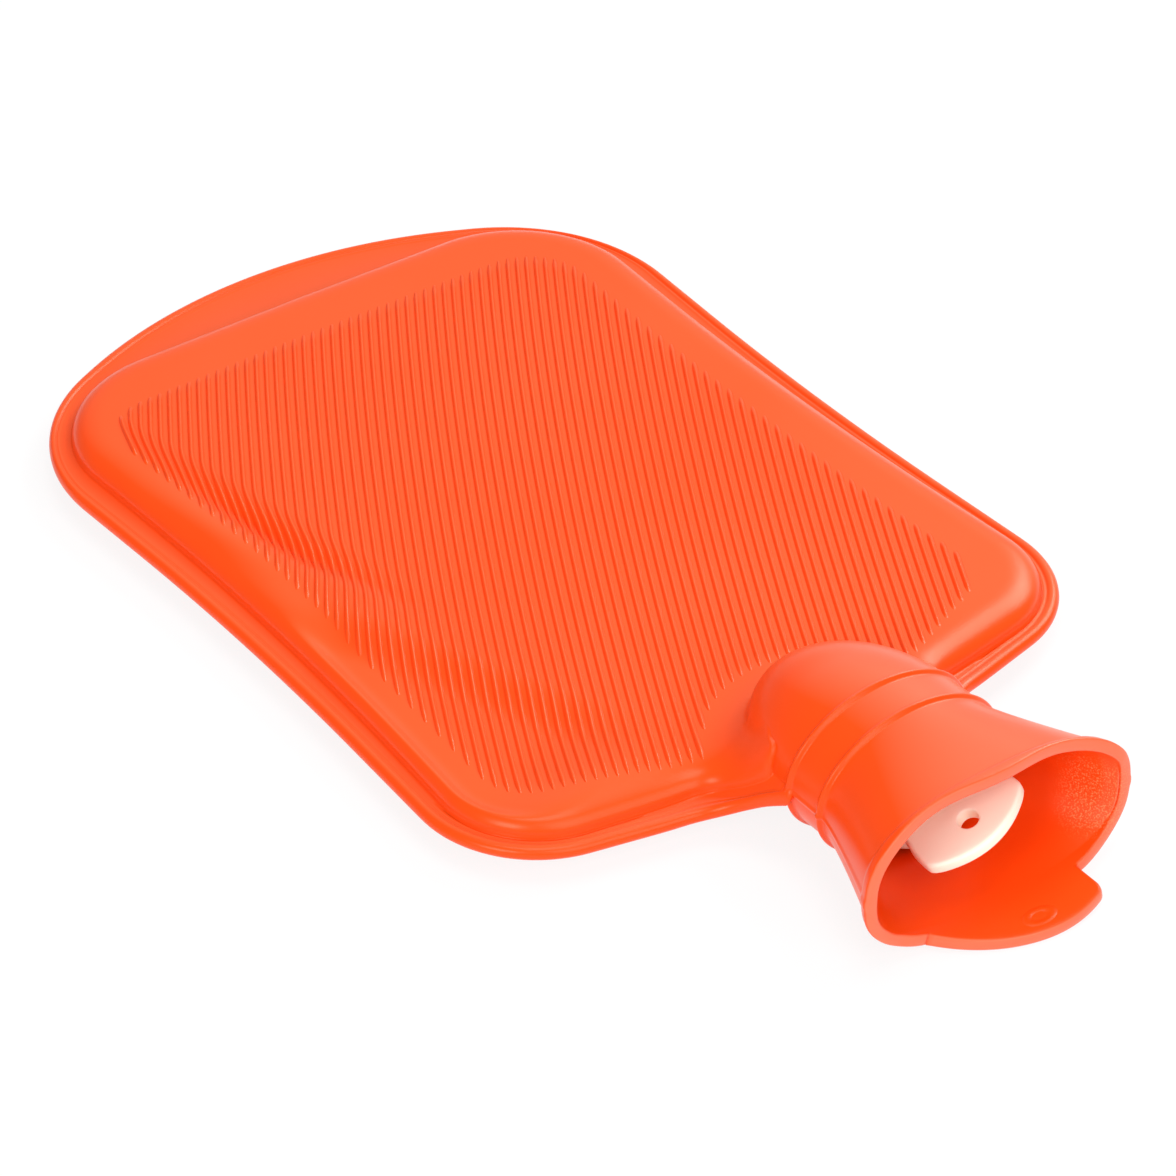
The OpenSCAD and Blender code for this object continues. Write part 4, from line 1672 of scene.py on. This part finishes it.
class RibTree:
    """Geometry nodes that lay ribs along the panel and make them follow its surface."""

    def __init__(self, field_: RibField, panel: bpy.types.Object, material: bpy.types.Material) -> None:
        """Build the tree with named inputs.

        Args:
            field_: sizes of the ribbed field.
            panel: the piece that the ribs lie on.
            material: material of the ribs.
        """
        self.group = bpy.data.node_groups.new("panel_ribs", "GeometryNodeTree")
        face = self.group.interface
        face.new_socket("Geometry", in_out="INPUT", socket_type="NodeSocketGeometry")
        face.new_socket("Geometry", in_out="OUTPUT", socket_type="NodeSocketGeometry")
        inputs = {
            "Width": ("NodeSocketFloat", field_.width * MM),
            "Height": ("NodeSocketFloat", field_.height * MM),
            "Fade": ("NodeSocketFloat", field_.fade * MM),
            "Points across": ("NodeSocketInt", field_.points_across),
            "Points along": ("NodeSocketInt", field_.points_along),
            "Panel": ("NodeSocketObject", panel),
            "Material": ("NodeSocketMaterial", material),
        }
        self.values = {}
        for name, (kind, value) in inputs.items():
            socket = face.new_socket(name, in_out="INPUT", socket_type=kind)
            self.values[socket.identifier] = value
        self.build(field_)

    def build(self, field_: RibField) -> None:
        """Add the nodes.

        Args:
            field_: sizes of the ribbed field.
        """
        tree = Tree(self.group)
        given = tree.node("NodeGroupInput")
        strip = tree.node(
            "GeometryNodeMeshGrid",
            None,
            Size_X=1.0,
            Size_Y=1.0,
            Vertices_X=given.outputs["Points across"],
            Vertices_Y=given.outputs["Points along"],
        )
        unit_x, unit_y, _ = tree.parts(tree.node("GeometryNodeInputPosition").outputs[0])
        kept = strip.outputs["Mesh"]
        for name, value in (("side", unit_x), ("reach", unit_y + 0.5)):
            store = tree.node(
                "GeometryNodeStoreNamedAttribute",
                {"data_type": "FLOAT", "domain": "POINT"},
                Geometry=kept,
                Name=name,
                Value=value,
            )
            kept = store.outputs[0]
        places = given.outputs["Geometry"]
        laid = tree.node("GeometryNodeInstanceOnPoints", None, Points=places, Instance=kept)
        real = tree.node("GeometryNodeRealizeInstances", None, Geometry=laid.outputs[0])
        side = tree.stored("side")
        reach = tree.stored("reach")
        span = tree.stored("span")
        offset = tree.stored("offset")
        start = tree.stored("start")
        fade = (reach.below(1 - reach) * span / tree.number(given, "Fade")).eased()
        narrow = fade**0.5 * 0.5 + 0.5
        along = start + reach * span
        centre_x, centre_y = (float(v) * MM for v in field_.bag.centre)
        along_x, along_y = (float(v) for v in field_.along)
        across_x, across_y = (float(v) for v in field_.across)
        plain_x = centre_x + along * along_x + offset * across_x
        plain_y = centre_y + along * along_y + offset * across_y
        nx, ny, gap = field_.drift_line
        from_line = plain_x * nx + plain_y * ny + gap * MM
        near = from_line.falling(field_.drift_reach * MM, 2 * field_.drift_reach * MM).eased()
        further = plain_y.rising(field_.drift_start * MM, field_.drift_length * MM).eased()
        drawn = near * further * (field_.drift * MM)
        bent = along * along * (0.5 / (field_.bend_radius * MM))
        across = side * tree.number(given, "Width") * narrow + bent + drawn
        x = plain_x + across * across_x
        y = plain_y + across * across_y
        section = ((side + 0.5) * math.pi).sine()
        height = section * fade * tree.number(given, "Height")
        above = 0.1
        settings = {"transform_space": "RELATIVE"}
        panel = tree.node("GeometryNodeObjectInfo", settings, Object=given.outputs["Panel"])
        ray = tree.node(
            "GeometryNodeRaycast",
            None,
            Target_Geometry=panel.outputs["Geometry"],
            Source_Position=tree.vector(x, y, above),
            Ray_Direction=(0.0, 0.0, -1.0),
            Ray_Length=2 * above,
        )
        _, _, ground = tree.parts(ray.outputs["Hit Position"])
        moved = tree.node(
            "GeometryNodeSetPosition",
            None,
            Geometry=real.outputs[0],
            Position=tree.vector(x, y, ground + height - field_.sunk * MM),
        )
        material = given.outputs["Material"]
        dressed = tree.node("GeometryNodeSetMaterial", None, Geometry=moved.outputs[0], Material=material)
        tree.node("NodeGroupOutput", None, Geometry=dressed.outputs[0])

    def apply(self, base: bpy.types.Object) -> bpy.types.Object:
        """Run the tree on a base object and return the result as a plain mesh object.

        Args:
            base: object with one point for each rib.

        Returns:
            A new object.
        """
        modifier = base.modifiers.new("ribs", "NODES")
        modifier.node_group = self.group
        for identifier, value in self.values.items():
            modifier[identifier] = value
        graph = bpy.context.evaluated_depsgraph_get()
        mesh = bpy.data.meshes.new_from_object(base.evaluated_get(graph))
        made = linked("panel_ribs", mesh)
        bpy.data.objects.remove(base)
        mesh.shade_smooth()
        return made


def rib_base(field_: RibField) -> bpy.types.Object:
    """Return an object with one point for each rib, which holds the rib's offset, start and length.

    Args:
        field_: sizes of the ribbed field.

    Returns:
        The new object.
    """
    spans = field_.spans()
    mesh = bpy.data.meshes.new("rib_places")
    mesh.from_pydata([(0.0, 0.0, 0.0)] * len(spans), [], [])
    for name, values in zip(("offset", "start", "span"), zip(*spans)):
        stored = mesh.attributes.new(name, "FLOAT", "POINT")
        stored.data.foreach_set("value", [value * MM for value in values])
    return linked("rib_places", mesh)


@dataclass
class ScrewThread:
    """A single-start right-hand thread about the neck's axis, in millimetres from the seat outwards."""

    datum: Datum
    pitch: float = 4.0
    row_gap: float = 0.33
    groove_half: float = 0.14
    flank: float = 0.16
    run_out: float = 1.5
    columns: int = 72

    @property
    def turn(self) -> Points:
        """Bearings of the columns."""
        return np.linspace(0, 2 * math.pi, self.columns, endpoint=False)

    def wall(self, radius: float, depth: float, low: float, high: float, inwards: bool) -> list[Points]:
        """Return loops of a threaded wall.

        Args:
            radius: radius of the thread's plain crest.
            depth: depth of the groove.
            low: first place along the axis.
            high: last place along the axis.
            inwards: True for a groove that cuts towards the axis.

        Returns:
            Loops from low to high.
        """
        loops = []
        for along in np.linspace(low, high, int((high - low) / self.row_gap)):
            phase = (along / self.pitch - self.turn / (2 * math.pi)) % 1.0
            tooth = ease((np.abs(phase - 0.5) - self.groove_half) / self.flank)
            ends = ease((along - low) / self.run_out) * ease((high - along) / self.run_out)
            cut = depth * (1 - tooth) * ends
            loops.append(self.ring(radius - cut if inwards else radius + cut, along))
        return loops

    def ring(self, radius: Points | float, along: float) -> Points:
        """Return one loop about the axis.

        Args:
            radius: its radius, or one for each column.
            along: its place from the seat outwards.

        Returns:
            The loop's points.
        """
        x = radius * np.cos(self.turn)
        z = radius * np.sin(self.turn)
        return np.column_stack([x, np.full_like(x, self.datum.seat_y - along), z + self.datum.neck_height])


@dataclass
class NeckInsert:
    """The threaded insert that is moulded into the neck, in millimetres."""

    datum: Datum
    radius: float = 15.2
    length: float = 24.0
    edge: float = 0.4
    rib: float = 0.8
    rib_foot: float = 1.2
    rib_top: float = 0.5
    rib_places: tuple[float, ...] = (0.35, 0.7)
    bore: float = 12.05
    bore_edge: float = 0.5
    groove: float = 0.9

    def make(self) -> bpy.types.Object:
        """Make the insert's mesh.

        Returns:
            The new object.
        """
        thread = ScrewThread(self.datum)
        outside = [(self.radius - self.edge, 0.0), (self.radius, -self.edge)]
        crest = self.radius + self.rib
        section = [(self.radius, self.rib_foot), (crest, self.rib_top)]
        section += [(radius, -along) for radius, along in section[::-1]]
        for share in self.rib_places:
            outside += [(radius, along - self.length * share) for radius, along in section]
        outside += [(self.radius, self.edge - self.length), (self.radius - self.edge, -self.length)]
        loops = [thread.ring(r, along) for r, along in outside]
        low = self.bore_edge - self.length
        loops.append(thread.ring(self.bore + self.bore_edge, -self.length))
        loops += thread.wall(self.bore, self.groove, low, -self.bore_edge, inwards=False)
        loops.append(thread.ring(self.bore + self.bore_edge, 0.0))
        shell = Shell()
        numbers = shell.stack(loops)
        shell.bridge(numbers[-1], numbers[0])
        return shell.make("insert_threaded")


@dataclass
class Stopper:
    """The screw stopper, in millimetres: hollow threaded shank, flange and pierced wing grip."""

    datum: Datum
    shank_radius: float = 11.95
    shank_length: float = 21.0
    thread_depth: float = 1.0
    thread_end: float = 0.6
    shank_chamfer: float = 1.4
    shank_fillet: float = 0.3
    core_radius: float = 8.5
    core_floor: float = 1.0
    core_edge: float = 0.5
    washer_thickness: float = 2.5
    cap_radius: float = 16.4
    cap_thickness: float = 3.0
    cap_round: float = 1.1
    cap_edge: float = 0.6
    crown: float = 0.2
    wing_root: float = 11.0
    wing_half_width: float = 15.4
    wing_height: float = 23.0
    wing_shoulder: float = 10.0
    wing_corner: float = 18.0
    wing_side_radius: float = 14.0
    wing_tip_radius: float = 1.2
    wing_tip_inset: float = 2.4
    wing_tip_rise: float = 0.8
    wing_sunk: float = 0.6
    wing_points: int = 96
    wing_thickness: float = 4.0
    wing_round: float = 1.1
    hole_radius: float = 2.7
    hole_round: float = 0.5
    hole_height: float = 14.2
    wing_turn: float = 24.0

    @property
    def top(self) -> float:
        """Place of the flange's outer face, from the seat outwards."""
        return self.washer_thickness + self.cap_thickness

    def body(self, shell: Shell) -> None:
        """Add the shank and the flange.

        Args:
            shell: the shell that gets them.
        """
        thread = ScrewThread(self.datum)
        low = -self.shank_length
        seat = self.washer_thickness
        top = self.top
        core = self.core_radius
        shank = self.shank_radius
        edge = self.cap_radius
        lift = self.cap_edge / 4
        inside = [(core, -self.core_floor), (core, low + self.core_edge), (core + self.core_edge, low)]
        inside.append((shank - self.shank_chamfer, low))
        outside = [(shank, seat - self.shank_fillet), (shank + self.shank_fillet, seat)]
        outside += [(edge - self.cap_edge, seat), (edge - 0.2, seat + lift), (edge, seat + self.cap_edge)]
        for t in np.radians((0, 20, 40, 60, 80, 90)):
            radius = edge - self.cap_round * (1 - math.cos(t))
            outside.append((radius, top - self.cap_round * (1 - math.sin(t))))
        outside += [(edge * 0.75, top + lift), (edge * 0.45, top + self.crown)]
        loops = [thread.ring(radius, along) for radius, along in inside]
        loops += thread.wall(shank, self.thread_depth, low + self.thread_end, -self.thread_end, inwards=True)
        loops += [thread.ring(radius, along) for radius, along in outside]
        numbers = shell.stack(loops)
        y = self.datum.seat_y
        shell.fan(numbers[0], np.array([0, y + self.core_floor, self.datum.neck_height]))
        shell.fan(numbers[-1], np.array([0, y - top - self.crown, self.datum.neck_height]))

    def wing_outline(self) -> Points:
        """Return the wing's outline about its hole, evenly turned, with rounded corners.

        Returns:
            Points across and along, from the seat outwards.
        """
        half_width = self.wing_half_width
        right = [
            Corner(half_width, self.wing_shoulder, self.wing_side_radius, 8),
            Corner(half_width, self.wing_corner - self.wing_tip_radius, self.wing_tip_radius, 5),
        ]
        share = np.linspace(1, -1, 25)
        crown = (self.wing_height - self.wing_corner - self.wing_tip_rise) * (1 - share**2)
        edge_x = share * (half_width - self.wing_tip_inset)
        edge = np.column_stack([edge_x, self.wing_corner + self.wing_tip_rise + crown])
        low = np.array([self.wing_root, -self.wing_sunk])
        path = [low, right[0].at, right[1].at, edge[0]]
        side = [corner_arc(*path[k : k + 3], corner.radius, corner.run) for k, corner in enumerate(right)]
        half = np.concatenate([[low], *side])
        whole = np.concatenate([half, edge, (half * [-1, 1])[::-1], half[:1]])
        hole = np.array([0, self.hole_height])
        bearing = np.unwrap(np.arctan2(whole[:, 1] - hole[1], whole[:, 0] - hole[0]))
        reach = np.hypot(whole[:, 0] - hole[0], whole[:, 1] - hole[1])
        turn = bearing[0] + np.linspace(0, 2 * math.pi, self.wing_points, endpoint=False)
        away = np.interp(turn, bearing, reach)
        outline = hole + away[:, None] * np.column_stack([np.cos(turn), np.sin(turn)])
        return outline + np.array([0, self.top])

    def wing(self, shell: Shell) -> None:
        """Add the wing with its rounded edge and its hole.

        Args:
            shell: the shell that gets it.
        """
        outline = self.wing_outline()
        hole = np.array([0, self.hole_height + self.top])
        inwards = (hole - outline) / np.linalg.norm(hole - outline, axis=1)[:, None]
        circle = hole - inwards * self.hole_radius
        flat = self.wing_thickness / 2
        front = []
        for t in np.radians((90, 60, 30, 0)):
            out = self.hole_radius + self.hole_round * (1 - math.sin(t))
            front.append((hole - inwards * out, flat - self.hole_round * (1 - math.cos(t))))
        for share in (0.12, 0.3, 0.5, 0.7, 0.85):
            front.append((circle + (outline + inwards * self.wing_round - circle) * share, flat))
        for t in np.radians((90, 70, 50, 30, 12, 0)):
            edge = outline + inwards * self.wing_round * (1 - math.cos(t))
            front.append((edge, flat - self.wing_round * (1 - math.sin(t))))
        turn = math.radians(self.wing_turn)
        loops = []
        for places, through in front + [(places, -through) for places, through in front[::-1]]:
            x = places[:, 0] * math.cos(turn) - through * math.sin(turn)
            up = places[:, 0] * math.sin(turn) + through * math.cos(turn)
            loops.append(np.column_stack([x, self.datum.seat_y - places[:, 1], up + self.datum.neck_height]))
        numbers = shell.stack(loops)
        shell.bridge(numbers[-1], numbers[0])

    def make(self) -> bpy.types.Object:
        """Make the stopper's mesh.

        Returns:
            The new object.
        """
        shell = Shell()
        self.body(shell)
        self.wing(shell)
        return shell.make("stopper_wing_grip")


@dataclass(frozen=True)
class Lamp:
    """A soft square lamp that points at the object, in metres and watts."""

    name: str
    place: tuple[float, float, float]
    size: float
    power: float

    def make(self) -> None:
        """Make the lamp."""
        data = bpy.data.lights.new(self.name, "AREA")
        data.energy = self.power
        data.size = self.size
        made = linked(self.name, data)
        made.location = self.place
        made.rotation_mode = "QUATERNION"
        made.rotation_quaternion = (-Vector(self.place)).to_track_quat("-Z", "Y")


@dataclass
class Studio:
    """Floor, background, lamps and the camera at the photograph's viewing angle.

    Places are in metres, angles in degrees, and the camera's lens and sensor in millimetres.
    """

    azimuth: float = -35.87
    elevation: float = 36.75
    roll: float = -0.13
    distance: float = 1.1831
    lens: float = 137.76
    sensor: float = 36.0
    nearest: float = 0.05
    furthest: float = 20.0
    target: tuple[float, float, float] = (-0.00855, -0.0045, 0.0085)
    floor_size: float = 6.0
    floor_colour: Colour = (0.96, 0.96, 0.96, 1)
    floor_glow: float = 0.87
    surroundings: float = 0.27
    lamps: tuple[Lamp, ...] = (
        Lamp("key", (1.15, 0.25, 1.0), 0.8, 12.5),
        Lamp("top", (0.0, -0.1, 1.6), 0.8, 9),
        Lamp("front", (-0.1, -1.35, 1.0), 1.2, 13),
        Lamp("side", (-1.3, -0.6, 0.8), 0.6, 9),
    )

    def camera(self) -> None:
        """Make the camera."""
        a = math.radians(self.azimuth)
        e = math.radians(self.elevation)
        back = Vector((math.sin(a) * math.cos(e), -math.cos(a) * math.cos(e), math.sin(e)))
        data = bpy.data.cameras.new("camera")
        data.lens = self.lens
        data.sensor_width = self.sensor
        data.clip_start = self.nearest
        data.clip_end = self.furthest
        made = linked("camera", data)
        made.location = Vector(self.target) + back * self.distance
        made.rotation_mode = "QUATERNION"
        level = (-back).to_track_quat("-Z", "Y")
        made.rotation_quaternion = Quaternion(back, math.radians(self.roll)) @ level
        bpy.context.scene.camera = made

    def floor(self) -> None:
        """Make the pale floor, which keeps the object's shadow and shows white to the camera."""
        mesh = bpy.data.meshes.new("floor")
        signs = ((-1, -1), (1, -1), (1, 1), (-1, 1))
        corners = [(x * self.floor_size, y * self.floor_size, 0) for x, y in signs]
        mesh.from_pydata(corners, [], [(0, 1, 2, 3)])
        material, tree, shader = new_material("pale_floor")
        tree.feed(shader, Base_Color=self.floor_colour, Roughness=0.9, Specular_IOR_Level=0.0)
        white = tree.node("ShaderNodeEmission", None, Color=(1.0, 1.0, 1.0, 1.0), Strength=1.0)
        path = tree.node("ShaderNodeLightPath")
        seen = [tree.number(path, name) for name in ("Is Camera Ray", "Is Glossy Ray", "Is Transmission Ray")]
        share = seen[0].above(seen[1]).above(seen[2]) * self.floor_glow
        mixed = tree.node("ShaderNodeMixShader", None, _0=share, _1=shader.outputs[0], _2=white.outputs[0])
        tree.feed(material.node_tree.nodes["Material Output"], Surface=mixed.outputs[0])
        made = linked("floor", mesh)
        dress(made, material)

    def world(self) -> None:
        """Make the white surroundings."""
        world = bpy.data.worlds.new("surroundings")
        world.use_nodes = True
        shade = world.node_tree.nodes["Background"]
        shade.inputs["Color"].default_value = (1, 1, 1, 1)
        shade.inputs["Strength"].default_value = self.surroundings
        bpy.context.scene.world = world

    def make(self) -> None:
        """Make the whole studio."""
        self.camera()
        self.floor()
        self.world()
        for lamp in self.lamps:
            lamp.make()
        bpy.context.scene.view_settings.view_transform = "Standard"


INSERT_PLASTIC = Moulding("insert_plastic", (0.8, 0.66, 0.45, 1), (0.72, 0.58, 0.38, 1), 0.45)
STOPPER_PLASTIC = Moulding("stopper_plastic", (1.0, 0.97, 0.82, 1), (0.98, 0.93, 0.76, 1), 0.33, 0.08)
WASHER_RUBBER = Moulding("washer_rubber", (0.03, 0.028, 0.028, 1), (0.018, 0.017, 0.017, 1), 0.6)


def dressed_pieces(datum: Datum) -> list[tuple[bpy.types.Object, str, str, str]]:
    """Make and dress every piece.

    Args:
        datum: places of the bottle.

    Returns:
        Each piece with its body, the node that it stands for and its material slot.
    """
    rubber = Rubber().material(datum)
    bottle = MouldedBottle(datum)
    moulding = bottle.make()
    dress(moulding, rubber)
    field_ = RibField(bottle.bag)
    ribs = RibTree(field_, moulding, rubber).apply(rib_base(field_))
    insert = NeckInsert(datum).make()
    dress(insert, INSERT_PLASTIC.material())
    stopper = Stopper(datum).make()
    dress(stopper, STOPPER_PLASTIC.material())
    return [
        (moulding, "bag", "bottle", "rubber_body"),
        (ribs, "bag", "bottle", "rubber_body"),
        (insert, "bag", "neck_insert", "insert_plastic"),
        (stopper, "screw_stopper", "stopper", "stopper_plastic"),
    ]


def main() -> None:
    """Load the frame, make every piece and the studio, and report them."""
    logging.basicConfig(level=logging.INFO, format="%(name)s: %(message)s")
    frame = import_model()
    datum = Datum.from_frame()
    for piece, body, node, slot in dressed_pieces(datum):
        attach(piece, body)
        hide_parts(node)
        log.info("%s rides on %s, %d faces", piece.name, body, len(piece.data.polygons))
    washer = frame["nodes"]["sealing_washer"]
    dress(washer, WASHER_RUBBER.material())
    Studio().make()


if __name__ == "__main__":
    main()
